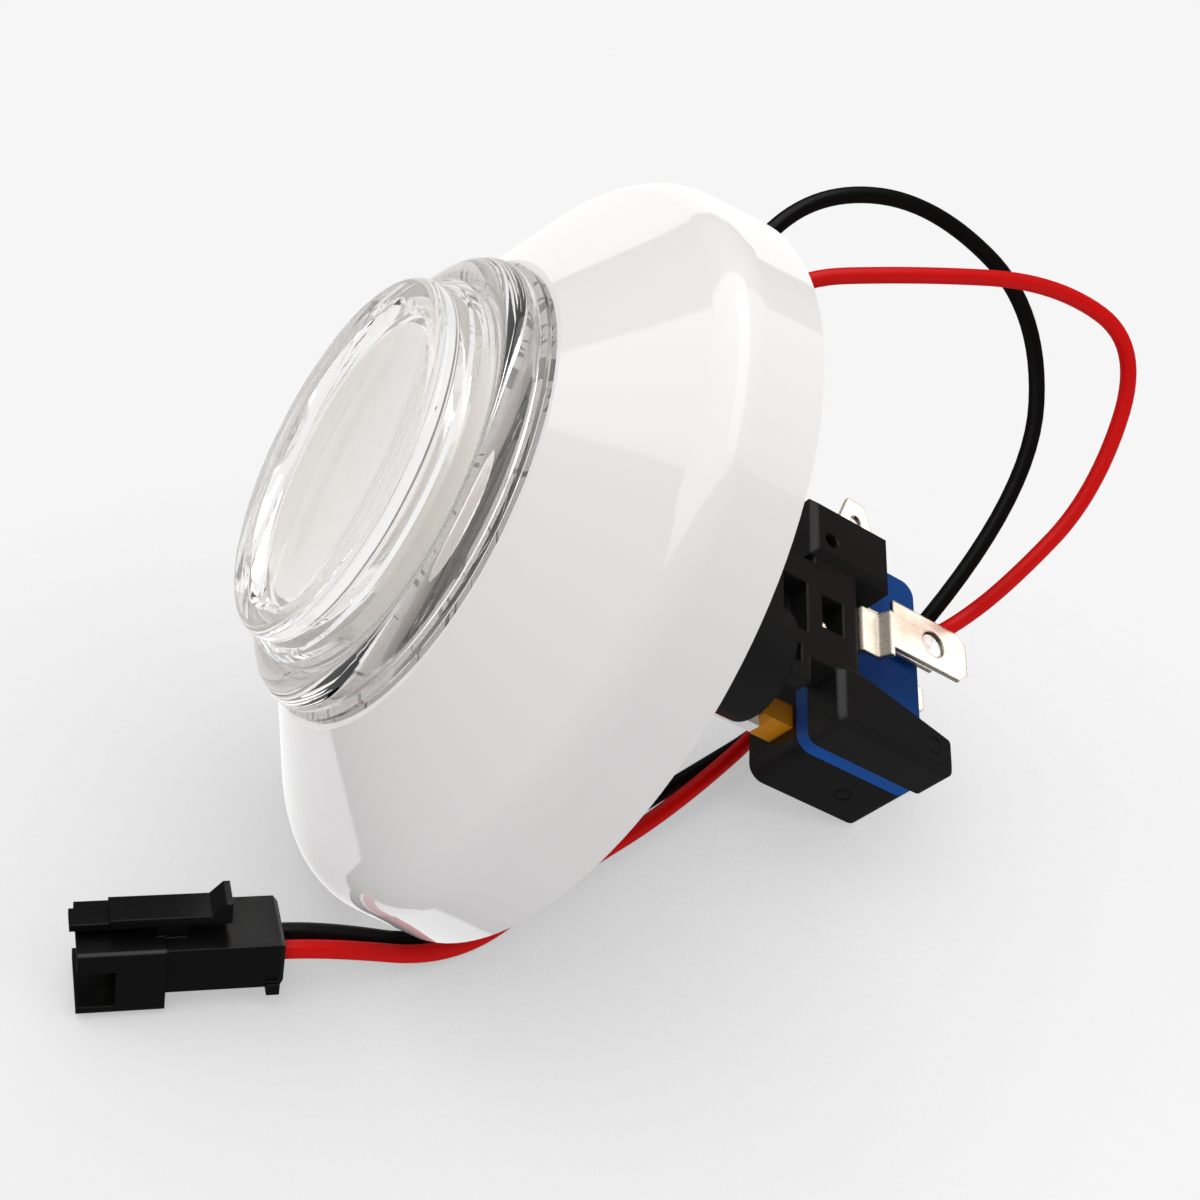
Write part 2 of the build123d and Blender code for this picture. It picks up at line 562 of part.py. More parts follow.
def lamp_lens():
    """Clear dome of the lamp."""
    radius = LAMP_COLLAR_R - LENS_STEP
    top = LAMP_COLLAR_TOP_Z + LENS_HEIGHT
    shoulder = top - radius
    wall = Polyline((0, LAMP_COLLAR_TOP_Z), (radius, LAMP_COLLAR_TOP_Z), (radius, shoulder))
    dome = CenterArc((0, shoulder), radius, 0, 90)
    return turned(wall + dome + Line((0, top), (0, LAMP_COLLAR_TOP_Z)))


def holder_cheek():
    """Bevelled cheek that covers the near end of the switch."""
    slant = [(CHEEK_X[0], CHEEK_Z[1]), (CHEEK_X[1], CHEEK_Z[1]), (CHEEK_X[1], CHEEK_Z[0]),
             (CHEEK_X[1] - CHEEK_FOOT_LENGTH, CHEEK_Z[0]), (CHEEK_X[0], ARM_REAR_Z)]
    cheek = plate(slant, PAD_Y)
    cheek = fillet(cheek.edges().filter_by(Axis.Y), CHEEK_ROUND)
    return chamfer(cheek.faces().sort_by(Axis.Y)[-1].edges(), BEVEL)


def holder_block():
    """Bevelled grip block over the far end of the switch."""
    block = span(BLOCK_X, PAD_Y, BLOCK_Z)
    block = chamfer(block.faces().sort_by(Axis.Y)[-1].edges(), BEVEL)
    return block - rod(BLOCK_HOLE_R, BLOCK_X[1] - BLOCK_HOLE_INSET, BLOCK_Z[1] - BLOCK_HOLE_INSET,
                       (PAD_Y[1] - BLOCK_HOLE_DEPTH, PAD_Y[1]))


def holder_arm(top_z):
    """Flat arm from the disc back to the switch, with its bridge to the grip block."""
    arm = [(ARM_FAR_X, ARM_REAR_Z), (ARM_FAR_X, ARM_SHOULDER_Z), (ARM_SHOULDER_X, top_z), (ARM_NEAR_X, top_z),
           (ARM_NEAR_X, CHEEK_Z[1]), (ARM_FOOT_X, CHEEK_Z[1] - BEVEL), (ARM_FOOT_X, ARM_REAR_Z)]
    bridge = rectangle((BLOCK_X[1] - BRIDGE_LAP, ARM_FAR_X + BRIDGE_LAP),
                       (ARM_REAR_Z, ARM_REAR_Z + BRIDGE_HEIGHT))
    rail_y = (HOLDER_Y[1] - RAIL_THICK, HOLDER_Y[1])
    rail = span((ARM_NEAR_X, RAIL_X), rail_y, (RAIL_END_Z, top_z))
    body = plate(arm, HOLDER_Y) + plate(bridge, HOLDER_Y) + rail
    for x, z in WINDOWS:
        body -= span(x, (HOLDER_Y[1] - WINDOW_DEPTH, HOLDER_Y[1]), z)
    return body - span(RAIL_SLOT[0], rail_y, RAIL_SLOT[1])


def lamp_holder(inserts):
    """Black bracket: spigot, lamp tower, windowed arm, grip block, cheek and switch pins in one moulding."""
    disc_z = (BARREL_BOTTOM_Z - DISC_THICK, BARREL_BOTTOM_Z)
    spigot_r = BARREL_BORE_R - SPIGOT_CLEARANCE
    drum_r = STEM_BORE_R - DRUM_CLEARANCE
    leg_room = ring(STEM_BORE_R - LEG_SLOT_CLEARANCE, STEM_R + LEG_SLOT_CLEARANCE, disc_z)
    holder = post(BARREL_R, 0, 0, disc_z)
    holder += ring(spigot_r - SPIGOT_WALL, spigot_r, (disc_z[0], disc_z[1] + SPIGOT_HEIGHT))
    holder -= leg_block(LEG_WIDTH + 2 * LEG_SLOT_CLEARANCE, disc_z) & leg_room
    holder += post(TOWER_R, 0, 0, (DRUM_BOTTOM_Z, TOWER_TOP_Z))
    holder += post(drum_r, 0, 0, (DRUM_BOTTOM_Z, disc_z[1]))
    holder += holder_arm(disc_z[0]) + holder_block() + holder_cheek()
    for x, z in pin_places():
        holder += rod(PIN_R, x, z, (HOLDER_Y[0] - PIN_LENGTH, HOLDER_Y[0]))
    for insert in inserts:
        holder -= insert
    return holder


def switch_half(y):
    """Rounded block of the switch outline between two Y limits."""
    block = span(SWITCH_X, y, SWITCH_Z)
    return fillet(block.edges().filter_by(Axis.Y), SWITCH_CORNER_R)


def switch_case(inserts):
    """Black half of the switch with its room, pin bosses, pusher slot and terminal slots."""
    y = (SWITCH_Y[0], PARTING_Y)
    hole_r = PIN_R + PIN_CLEARANCE
    room = [(low + SWITCH_WALL, high - SWITCH_WALL) for low, high in (SWITCH_X, SWITCH_Z)]
    case = switch_half(y) - span(room[0], (SWITCH_Y[0] + SWITCH_FLOOR, PARTING_Y), room[1])
    for x, z in pin_places():
        case += rod(hole_r + PIN_BOSS_WALL, x, z, y) & switch_half(y)
    for x, z in pin_places():
        case -= rod(hole_r, x, z, y)
    slot = [width + 2 * PUSHER_CLEARANCE for width in (PUSHER_LENGTH, PUSHER_WIDTH)]
    roof = (SWITCH_TOP_Z - SWITCH_WALL, SWITCH_TOP_Z)
    case -= span(about(PUSHER_X, slot[0]), about(SWITCH_MID_Y, slot[1]), roof)
    for insert in inserts:
        case -= insert
    return case


def switch_cover():
    """Blue half of the switch."""
    y = (PARTING_Y, SWITCH_Y[1])
    cover = switch_half(y)
    for x, z in pin_places():
        cover -= rod(PIN_R + PIN_CLEARANCE, x, z, y)
    return cover


def switch_plunger():
    """Orange pusher with a bevelled tip, an inner flange and a nose on the blade."""
    y = about(SWITCH_MID_Y, PUSHER_WIDTH)
    flange_top = SWITCH_TOP_Z - SWITCH_WALL - PUSHER_CLEARANCE
    flange_z = (flange_top - PUSHER_FLANGE_THICK, flange_top)
    body = span(about(PUSHER_X, PUSHER_LENGTH), y, (flange_top, PUSHER_TIP_Z))
    body = chamfer(body.faces().sort_by(Axis.Z)[-1].edges(), PUSHER_BEVEL)
    body += span(about(PUSHER_X, PUSHER_LENGTH + 2 * PUSHER_FLANGE_LAP), y, flange_z)
    return body + span(about(PUSHER_X, PUSHER_NOSE), y, (BLADE_TOP_Z + NOSE_GAP, flange_z[0]))


def common_terminal():
    """Tab out of the far end of the switch, tapered to its tip, with the saddle of the blade inside."""
    half = TERMINAL_WIDTH / 2
    tip = half - COMMON_BEVEL
    taper_x = COMMON_END_X + COMMON_BEVEL_RUN
    inner = SWITCH_X[0] + SWITCH_WALL + COMMON_ROOT
    outline = [(inner, COMMON_Z - half), (inner, COMMON_Z + half), (taper_x, COMMON_Z + half),
               (COMMON_END_X, COMMON_Z + tip), (COMMON_END_X, COMMON_Z - tip),
               (taper_x, COMMON_Z - half)]
    y = about(COMMON_Y, TERMINAL_THICK)
    slot_x = (taper_x, taper_x + SLOT_LENGTH)
    tab = plate(outline, y) - span(slot_x, y, about(COMMON_Z, 2 * SLOT_R))
    for x in slot_x:
        tab -= rod(SLOT_R, x, COMMON_Z, y)
    saddle_x = about(BLADE_PIVOT_X, TERMINAL_THICK)
    saddle = span(saddle_x, (COMMON_Y - BLADE_WIDTH, y[1]),
                  (COMMON_Z, BLADE_PIVOT_Z - BLADE_ROLL_R - REST_GAP))
    bridge = plate(rectangle((inner, saddle_x[1]), (COMMON_Z - half, COMMON_Z)), y)
    return tab + saddle + bridge


def back_tab(x, top_z, y_mid):
    """Slotted tab out of the switch's back, from an inner height down to its chamfered end."""
    half = TERMINAL_WIDTH / 2
    tip = half - TERMINAL_BEVEL
    bevel_z = TERMINAL_END_Z + TERMINAL_BEVEL_RUN
    y = about(y_mid, TERMINAL_THICK)
    outline = [(x - half, top_z), (x + half, top_z), (x + half, bevel_z), (x + tip, TERMINAL_END_Z),
               (x - tip, TERMINAL_END_Z), (x - half, bevel_z)]
    slot_z = (TERMINAL_END_Z + SLOT_START, TERMINAL_END_Z + SLOT_START + SLOT_LENGTH)
    tab = plate(outline, y) - span(about(x, 2 * SLOT_R), y, slot_z)
    for z in slot_z:
        tab -= rod(SLOT_R, x, z, y)
    return tab


def button_drop():
    """How far the blade's contact button falls over the whole travel."""
    return TRAVEL * (OPEN_X - BLADE_PIVOT_X) / (PUSHER_X - BLADE_PIVOT_X)


def open_terminal():
    """Terminal whose head the blade reaches when pressed."""
    head_z = BLADE_UNDER_Z - BUTTON_THICK - button_drop() - PRESSED_GAP
    foot_z = head_z - BUTTON_THICK
    reach_y = (CLOSED_Y - TERMINAL_THICK / 2, SWITCH_MID_Y + BUTTON_R)
    reach = span(about(OPEN_X, 2 * BUTTON_R), reach_y, (foot_z - TERMINAL_THICK, foot_z))
    tab = back_tab(OPEN_X - OPEN_TAB_SHIFT, foot_z, CLOSED_Y)
    return tab + reach + post(BUTTON_R, OPEN_X, SWITCH_MID_Y, (foot_z, head_z))


def closed_terminal():
    """Terminal whose head the blade rests against."""
    head_z = BLADE_TOP_Z + BUTTON_THICK + REST_GAP
    top_z = head_z + TERMINAL_THICK
    foot_z = SWITCH_TOP_Z - CLOSED_LINK_DEPTH
    foot_x = about(CLOSED_X, TERMINAL_WIDTH)
    head_x = about(OPEN_X, 2 * BUTTON_R)
    side_y = about(CLOSED_Y, TERMINAL_THICK)
    link = [(foot_x[0], foot_z), (foot_x[1], foot_z), (head_x[1], top_z - CLOSED_LINK_HEAD),
            (head_x[1], top_z), (head_x[0], top_z)]
    reach = span(head_x, (side_y[0], SWITCH_MID_Y + BUTTON_R), (head_z, top_z))
    return back_tab(CLOSED_X, foot_z, CLOSED_Y) + plate(link, side_y) + reach


def contact_blade():
    """Moving leaf with a rolled pivot end and a contact button on each face."""
    y = about(SWITCH_MID_Y, BLADE_WIDTH)
    leaf = span((BLADE_PIVOT_X, PUSHER_X + BLADE_LAP), y, (BLADE_UNDER_Z, BLADE_TOP_Z))
    leaf += rod(BLADE_ROLL_R, BLADE_PIVOT_X, BLADE_PIVOT_Z, y)
    button_z = (BLADE_UNDER_Z - BUTTON_THICK, BLADE_TOP_Z + BUTTON_THICK)
    return leaf + post(BUTTON_R, OPEN_X, SWITCH_MID_Y, button_z)


def plug_frame():
    """Placement of the plug on the table."""
    return Plane(PLUG_ORIGIN, x_dir=PLUG_FORWARD, z_dir=PLUG_UP)


def plug_rows():
    """Sideways places of the two ways of the plug, red first."""
    return [PLUG_PITCH / 2, -PLUG_PITCH / 2]


def connector_contacts():
    """Two crimp barrels with square pins."""
    pair = []
    for y in plug_rows():
        crimp = span((0, CRIMP_LENGTH), about(y, CRIMP), about(PLUG_WIRE_Z, CRIMP))
        pin = span((CRIMP_LENGTH, PLUG_PIN_END), about(y, PIN_THICK), about(PLUG_WIRE_Z, PIN_THICK))
        pair.append(crimp + pin)
    return Compound(children=[plug_frame().location * piece for piece in pair])


def plug_latch():
    """Lever over the plug: post, arm, ramped thumb grip and narrow tongue."""
    y = about(0, LATCH_WIDTH)
    low = PLUG_SHROUD_TOP + LATCH_GAP
    top = low + LATCH_THICK
    grip = [(LATCH_X[0], low), (LATCH_X[1], low), (LATCH_X[1], top), (LATCH_X[0] + LATCH_GRIP_RUN, top),
            (LATCH_X[0] + LATCH_GRIP_RUN / 3, top + LATCH_GRIP_HEIGHT), (LATCH_X[0], top + LATCH_GRIP_HEIGHT)]
    tongue_z = (low - TONGUE_DROP, low - TONGUE_DROP + TONGUE_THICK)
    latch = plate(grip, y) + span(LATCH_POST_X, y, (PLUG_REAR_Z[1] - LATCH_POST_LAP, top))
    return latch + span((LATCH_X[1] - LATCH_GRIP_RUN, TONGUE_END), about(0, TONGUE_WIDTH), tongue_z)


def connector_housing():
    """Black two-way plug body with a shroud, side notches and a latch lever."""
    wide = about(0, PLUG_SHROUD_WIDTH)
    floor_x = CRIMP_LENGTH + PLUG_SHROUD_FLOOR
    wall = PLUG_SHROUD_WALL
    body = span((0, PLUG_REAR_LENGTH), about(0, PLUG_REAR_WIDTH), PLUG_REAR_Z)
    body = chamfer(body.faces().sort_by(Axis.X)[0].edges(), PLUG_REAR_BEVEL)
    body += span(PLUG_STOP_X, wide, PLUG_STOP_Z)
    shroud = span(PLUG_SHROUD_X, wide, (0, PLUG_SHROUD_TOP))
    body += fillet(shroud.edges().filter_by(Axis.X), PLUG_SHROUD_ROUND)
    body -= span((floor_x, PLUG_SHROUD_X[1]), (wide[0] + wall, wide[1] - wall),
                 (wall, PLUG_SHROUD_TOP - wall))
    body -= span((PLUG_SHROUD_X[1] - PLUG_SIDE_NOTCH, PLUG_SHROUD_X[1]), wide, PLUG_SIDE_NOTCH_Z)
    body += plug_latch()
    for y in plug_rows():
        body -= span((0, floor_x), about(y, CRIMP), about(PLUG_WIRE_Z, CRIMP))
    return plug_frame().location * body


def bend_radii(route):
    """Bend radius at each inner point of a route, from its shorter run and its turn."""
    radii = []
    for before, here, after in zip(route, route[1:], route[2:]):
        arriving = Vector(*here) - Vector(*before)
        leaving = Vector(*after) - Vector(*here)
        turn = math.radians(arriving.get_angle(leaving))
        radii.append(BEND_SHARE * min(arriving.length, leaving.length) / math.tan(turn / 2))
    return radii


def wire(start, route, row):
    """Round wire from its contact along a route that ends at the plug's rear face."""
    way_in = [plug_frame().from_local_coords(Vector(x, row, PLUG_WIRE_Z)) for x in (-WIRE_STRAIGHT, 0)]
    points = [start, *route, *(tuple(point) for point in way_in)]
    path = FilletPolyline(*points, radius=bend_radii(points))
    section = Plane(path @ 0, z_dir=path % 0) * Circle(WIRE_D / 2)
    return sweep(section, path=path)


def build():
    """All pieces by node name."""
    front = lamp_contact_front()
    rear = lamp_contact_rear()
    base = lamp_base()
    terminals = {"common_terminal": common_terminal(), "open_terminal": open_terminal(),
                 "closed_terminal": closed_terminal()}
    red_row, black_row = plug_rows()
    return {
        "outer_shell": outer_shell(),
        "collar": collar(),
        "fixing_nut": fixing_nut(),
        "plunger_cap": plunger_cap(),
        "diffuser": diffuser(),
        "plunger_stem": plunger_stem(),
        "return_spring": return_spring(),
        "lamp_holder": lamp_holder([front, rear, base]),
        "lamp_contact_front": front,
        "lamp_contact_rear": rear,
        "lamp_base": base,
        "lamp_lens": lamp_lens(),
        "switch_case": switch_case(terminals.values()),
        "switch_cover": switch_cover(),
        "switch_plunger": switch_plunger(),
        **terminals,
        "contact_blade": contact_blade(),
        "connector_housing": connector_housing(),
        "connector_contacts": connector_contacts(),
        "red_wire": wire(RED_START, RED_ROUTE, red_row),
        "black_wire": wire(BLACK_START, BLACK_ROUTE, black_row),
    }


if __name__ == "__main__":
    os.makedirs("parts", exist_ok=True)
    for node, shape in build().items():
        export_step(shape, f"parts/{node}.step")
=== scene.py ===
"""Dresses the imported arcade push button.

Adds finishes, wires, thread, spring, solder and moulding marks, and the table, light and camera.
"""
import logging
import math
from dataclasses import dataclass, field
from enum import Enum

import bmesh
import bpy
from mathutils import Matrix, Vector


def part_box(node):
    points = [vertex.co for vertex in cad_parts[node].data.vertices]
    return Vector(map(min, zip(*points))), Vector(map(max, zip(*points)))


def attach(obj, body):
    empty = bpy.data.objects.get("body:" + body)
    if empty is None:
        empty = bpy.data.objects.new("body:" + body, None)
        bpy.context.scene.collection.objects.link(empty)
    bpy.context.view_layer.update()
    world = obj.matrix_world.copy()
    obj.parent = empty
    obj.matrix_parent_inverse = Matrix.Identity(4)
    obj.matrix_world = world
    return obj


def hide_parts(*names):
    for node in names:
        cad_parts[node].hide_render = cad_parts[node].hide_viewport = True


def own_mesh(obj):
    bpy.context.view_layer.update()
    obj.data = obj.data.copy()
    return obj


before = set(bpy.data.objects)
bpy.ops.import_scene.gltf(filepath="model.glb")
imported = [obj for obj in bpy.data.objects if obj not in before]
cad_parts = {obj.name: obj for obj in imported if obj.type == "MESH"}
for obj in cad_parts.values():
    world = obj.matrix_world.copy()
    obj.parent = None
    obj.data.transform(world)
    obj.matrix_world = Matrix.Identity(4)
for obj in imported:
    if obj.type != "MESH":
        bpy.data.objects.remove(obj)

LOG = logging.getLogger("push_button")
MM = 0.001
PER_M = 1000

# Most of a noise texture lies between these two values.
NOISE_LOW = 0.3
NOISE_HIGH = 0.7

# Sockets of Blender's colour mix, whose names aren't unique.
MIX_AMOUNT = 0
MIX_FIRST = 6
MIX_SECOND = 7
MIX_RESULT = 2

# Rays per point for rounded edges and for the painted shade on the table.
EDGE_SAMPLES = 4
PAINTED_SHADE_SAMPLES = 4

Point = tuple[float, float, float]


class Body(Enum):
    """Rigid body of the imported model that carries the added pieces."""

    HOUSING = "housing"


class Sheen(Enum):
    """Surface roughness left by each way of making a piece."""

    POLISHED_TOOL = 0.07
    STONED_TOOL = 0.24
    SATIN_TOOL = 0.36
    ETCHED_TOOL = 0.5
    ROLLED_SHEET = 0.27
    DRAWN_WIRE = 0.3


def linear(code: str) -> tuple[float, float, float, float]:
    """Turns an sRGB hex code into a linear colour.

    Args:
        code: Six hex digits after a hash sign.

    Returns:
        Linear red, green and blue, and full opacity.
    """
    values = [int(code[i:i + 2], 16) / 255 for i in (1, 3, 5)]
    red, green, blue = (v / 12.92 if v <= 0.04045 else ((v + 0.055) / 1.055) ** 2.4 for v in values)
    return red, green, blue, 1.0


def add(tree: bpy.types.NodeTree, kind: str, inputs: dict | None = None, **settings: object) -> bpy.types.Node:
    """Adds a node, sets its properties and fills or links its inputs.

    Args:
        tree: Tree that takes the node.
        kind: Blender's name of the node type.
        inputs: Values or sockets by input name or number.
        settings: Properties of the node.

    Returns:
        The new node.
    """
    made = tree.nodes.new(kind)
    for key, value in settings.items():
        setattr(made, key, value)
    for key, value in (inputs or {}).items():
        if isinstance(value, bpy.types.NodeSocket):
            tree.links.new(value, made.inputs[key])
        else:
            made.inputs[key].default_value = value
    return made


def noise(tree: bpy.types.NodeTree, place: bpy.types.NodeSocket, per_m: float,
          detail: float = 2.0) -> bpy.types.NodeSocket:
    """Adds an even noise.

    Args:
        tree: Tree that takes the node.
        place: Coordinates.
        per_m: Waves in a metre.
        detail: Octaves.

    Returns:
        The noise's value.
    """
    return add(tree, "ShaderNodeTexNoise", {"Vector": place, "Scale": per_m, "Detail": detail}).outputs["Fac"]


def blend(tree: bpy.types.NodeTree, amount: bpy.types.NodeSocket, first: str, second: str) -> bpy.types.NodeSocket:
    """Adds a mix of two colours.

    Args:
        tree: Tree that takes the node.
        amount: Share of the second colour.
        first: Hex code of the first colour.
        second: Hex code of the second colour.

    Returns:
        The mixed colour.
    """
    mixed = add(tree, "ShaderNodeMix", {MIX_AMOUNT: amount, MIX_FIRST: linear(first), MIX_SECOND: linear(second)},
                data_type="RGBA")
    return mixed.outputs[MIX_RESULT]


def between(tree: bpy.types.NodeTree, value: bpy.types.NodeSocket, low: float, high: float,
            start: float = NOISE_LOW, end: float = NOISE_HIGH) -> bpy.types.NodeSocket:
    """Adds a map from one range to another.

    Args:
        tree: Tree that takes the node.
        value: Value to map.
        low: Result at the start of the range.
        high: Result at its end.
        start: Start of the range.
        end: End of the range.

    Returns:
        The mapped value.
    """
    mapped = add(tree, "ShaderNodeMapRange", {"Value": value, "From Min": start, "From Max": end,
                                              "To Min": low, "To Max": high})
    return mapped.outputs[0]


def either(tree: bpy.types.NodeTree, share: bpy.types.NodeSocket, first: bpy.types.NodeSocket,
           second: bpy.types.NodeSocket) -> bpy.types.NodeSocket:
    """Adds a choice between two shaders.

    Args:
        tree: Tree that takes the node.
        share: Share of the second shader.
        first: First shader.
        second: Second shader.

    Returns:
        The mixed shader.
    """
    return add(tree, "ShaderNodeMixShader", {0: share, 1: first, 2: second}).outputs[0]


def larger(tree: bpy.types.NodeTree, first: bpy.types.NodeSocket,
           second: bpy.types.NodeSocket) -> bpy.types.NodeSocket:
    """Adds the larger of two values.

    Args:
        tree: Tree that takes the node.
        first: First value.
        second: Second value.

    Returns:
        The larger value.
    """
    return add(tree, "ShaderNodeMath", {0: first, 1: second}, operation="MAXIMUM").outputs[0]


def start_material(name: str) -> tuple[bpy.types.Material, bpy.types.NodeTree, bpy.types.NodeSocket]:
    """Opens an empty node material.

    Args:
        name: Name of the material.

    Returns:
        The material, its tree and the object coordinates.
    """
    material = bpy.data.materials.new(name)
    material.use_nodes = True
    tree = material.node_tree
    tree.nodes.clear()
    return material, tree, add(tree, "ShaderNodeTexCoord").outputs["Object"]


@dataclass(frozen=True)
class MouldedPlastic:
    """Opaque injection moulding: soft mottling, tool grain and edges that catch light."""

    name: str
    colour: str
    shade: str
    sheen: Sheen
    # Tool grain is about 0.05 mm; it is drawn this coarse so that it shows.
    grain_mm: float = 0.35
    grain_depth_mm: float = 0.012
    grain_strength: float = 0.35
    cloud_mm: float = 14.0
    cloud_detail: float = 3.0
    # Shares of the sheen in the smoothest and the dullest patches.
    smoothest: float = 0.85
    dullest: float = 1.2
    edge_mm: float = 0.18
    coat: float = 0.0
    coat_roughness: float = 0.04
    ior: float = 1.5
    glow: float = 0.0
    glow_reach_mm: float = 2.0

    def material(self) -> bpy.types.Material:
        """Builds the node material.

        Returns:
            The finished material.
        """
        material, tree, place = start_material(self.name)
        cloud = noise(tree, place, PER_M / self.cloud_mm, self.cloud_detail)
        grain = noise(tree, place, PER_M / self.grain_mm)
        colour = blend(tree, cloud, self.colour, self.shade)
        rough = between(tree, cloud, self.sheen.value * self.smoothest, self.sheen.value * self.dullest)
        bump = add(tree, "ShaderNodeBump", {"Strength": self.grain_strength, "Distance": self.grain_depth_mm * MM,
                                            "Height": grain})
        if self.edge_mm:
            edge = add(tree, "ShaderNodeBevel", {"Radius": self.edge_mm * MM}, samples=EDGE_SAMPLES)
            tree.links.new(edge.outputs["Normal"], bump.inputs["Normal"])
        shader = add(tree, "ShaderNodeBsdfPrincipled", {
            "Base Color": colour, "Roughness": rough, "IOR": self.ior, "Coat Weight": self.coat,
            "Coat Roughness": self.coat_roughness, "Normal": bump.outputs["Normal"],
            "Subsurface Weight": self.glow, "Subsurface Scale": self.glow_reach_mm * MM})
        add(tree, "ShaderNodeOutputMaterial", {"Surface": shader.outputs[0]})
        return material


@dataclass(frozen=True)
class ClearMoulding:
    """Clear polycarbonate: polished, with the slow waves of a thick moulding."""

    name: str
    colour: str
    wave_mm: float = 7.0
    wave_depth_mm: float = 0.05
    wave_strength: float = 0.5
    wave_detail: float = 1.0
    ior: float = 1.55

    def material(self) -> bpy.types.Material:
        """Builds the node material.

        Returns:
            The finished material.
        """
        material, tree, place = start_material(self.name)
        wave = noise(tree, place, PER_M / self.wave_mm, self.wave_detail)
        bump = add(tree, "ShaderNodeBump", {"Strength": self.wave_strength, "Distance": self.wave_depth_mm * MM,
                                            "Height": wave})
        shader = add(tree, "ShaderNodeBsdfPrincipled", {
            "Base Color": linear(self.colour), "Roughness": 0.0, "IOR": self.ior,
            "Transmission Weight": 1.0, "Normal": bump.outputs["Normal"]})
        # Light falls through to the white pieces behind, as it does through the real moulding.
        path = add(tree, "ShaderNodeLightPath").outputs
        lit = larger(tree, path["Is Shadow Ray"], path["Is Diffuse Ray"])
        through = add(tree, "ShaderNodeBsdfTransparent", {"Color": linear(self.colour)})
        mixed = either(tree, lit, shader.outputs[0], through.outputs[0])
        add(tree, "ShaderNodeOutputMaterial", {"Surface": mixed})
        return material


@dataclass(frozen=True)
class PlatedMetal:
    """Stamped or drawn metal: fine lines along one axis, faint stains."""

    name: str
    colour: str
    stain: str
    sheen: Sheen
    # Rolling lines are about 0.02 mm apart; they are drawn this coarse so that they show.
    line_mm: float = 0.12
    run_mm: float = 6.0
    line_depth_mm: float = 0.004
    line_strength: float = 0.1
    stains_per_m: float = 320.0
    stain_detail: float = 4.0
    # Noise values where a stain starts and where it is full, and its share of the colour then.
    stain_start: float = 0.45
    stain_full: float = 0.75
    stain_share: float = 0.55
    # Shares of the sheen on the smoothest and the dullest lines.
    smoothest: float = 0.8
    dullest: float = 1.35
    edge_mm: float = 0.1

    def material(self) -> bpy.types.Material:
        """Builds the node material.

        Returns:
            The finished material.
        """
        material, tree, place = start_material(self.name)
        along = add(tree, "ShaderNodeMapping", {
            "Vector": place, "Scale": (1 / self.line_mm, 1 / self.line_mm, 1 / self.run_mm)})
        lines = noise(tree, along.outputs[0], PER_M)
        stains = noise(tree, place, self.stains_per_m, self.stain_detail)
        amount = between(tree, stains, 0.0, self.stain_share, self.stain_start, self.stain_full)
        colour = blend(tree, amount, self.colour, self.stain)
        rough = between(tree, lines, self.sheen.value * self.smoothest, self.sheen.value * self.dullest)
        edge = add(tree, "ShaderNodeBevel", {"Radius": self.edge_mm * MM}, samples=EDGE_SAMPLES)
        bump = add(tree, "ShaderNodeBump", {"Strength": self.line_strength, "Distance": self.line_depth_mm * MM,
                                            "Height": lines, "Normal": edge.outputs["Normal"]})
        shader = add(tree, "ShaderNodeBsdfPrincipled", {
            "Base Color": colour, "Metallic": 1.0, "Roughness": rough, "Normal": bump.outputs["Normal"]})
        add(tree, "ShaderNodeOutputMaterial", {"Surface": shader.outputs[0]})
        return material


@dataclass(frozen=True)
class SoftInsulation:
    """Extruded PVC over stranded wire: a soft shine and a slight orange-peel skin."""

    name: str
    colour: str
    shade: str
    # The skin's waves are about 0.2 mm; they are drawn this coarse so that they show.
    skin_mm: float = 0.5
    skin_depth_mm: float = 0.02
    skin_strength: float = 0.25
    patches_per_m: float = 90.0
    smoothest: float = 0.27
    dullest: float = 0.4
    ior: float = 1.53
    shine: float = 0.2

    def material(self) -> bpy.types.Material:
        """Builds the node material.

        Returns:
            The finished material.
        """
        material, tree, place = start_material(self.name)
        skin = noise(tree, place, PER_M / self.skin_mm)
        patch = noise(tree, place, self.patches_per_m)
        colour = blend(tree, patch, self.colour, self.shade)
        rough = between(tree, patch, self.smoothest, self.dullest)
        bump = add(tree, "ShaderNodeBump", {"Strength": self.skin_strength, "Distance": self.skin_depth_mm * MM,
                                            "Height": skin})
        shader = add(tree, "ShaderNodeBsdfPrincipled", {
            "Base Color": colour, "Roughness": rough, "IOR": self.ior,
            "Specular IOR Level": self.shine, "Normal": bump.outputs["Normal"]})
        add(tree, "ShaderNodeOutputMaterial", {"Surface": shader.outputs[0]})
        return material


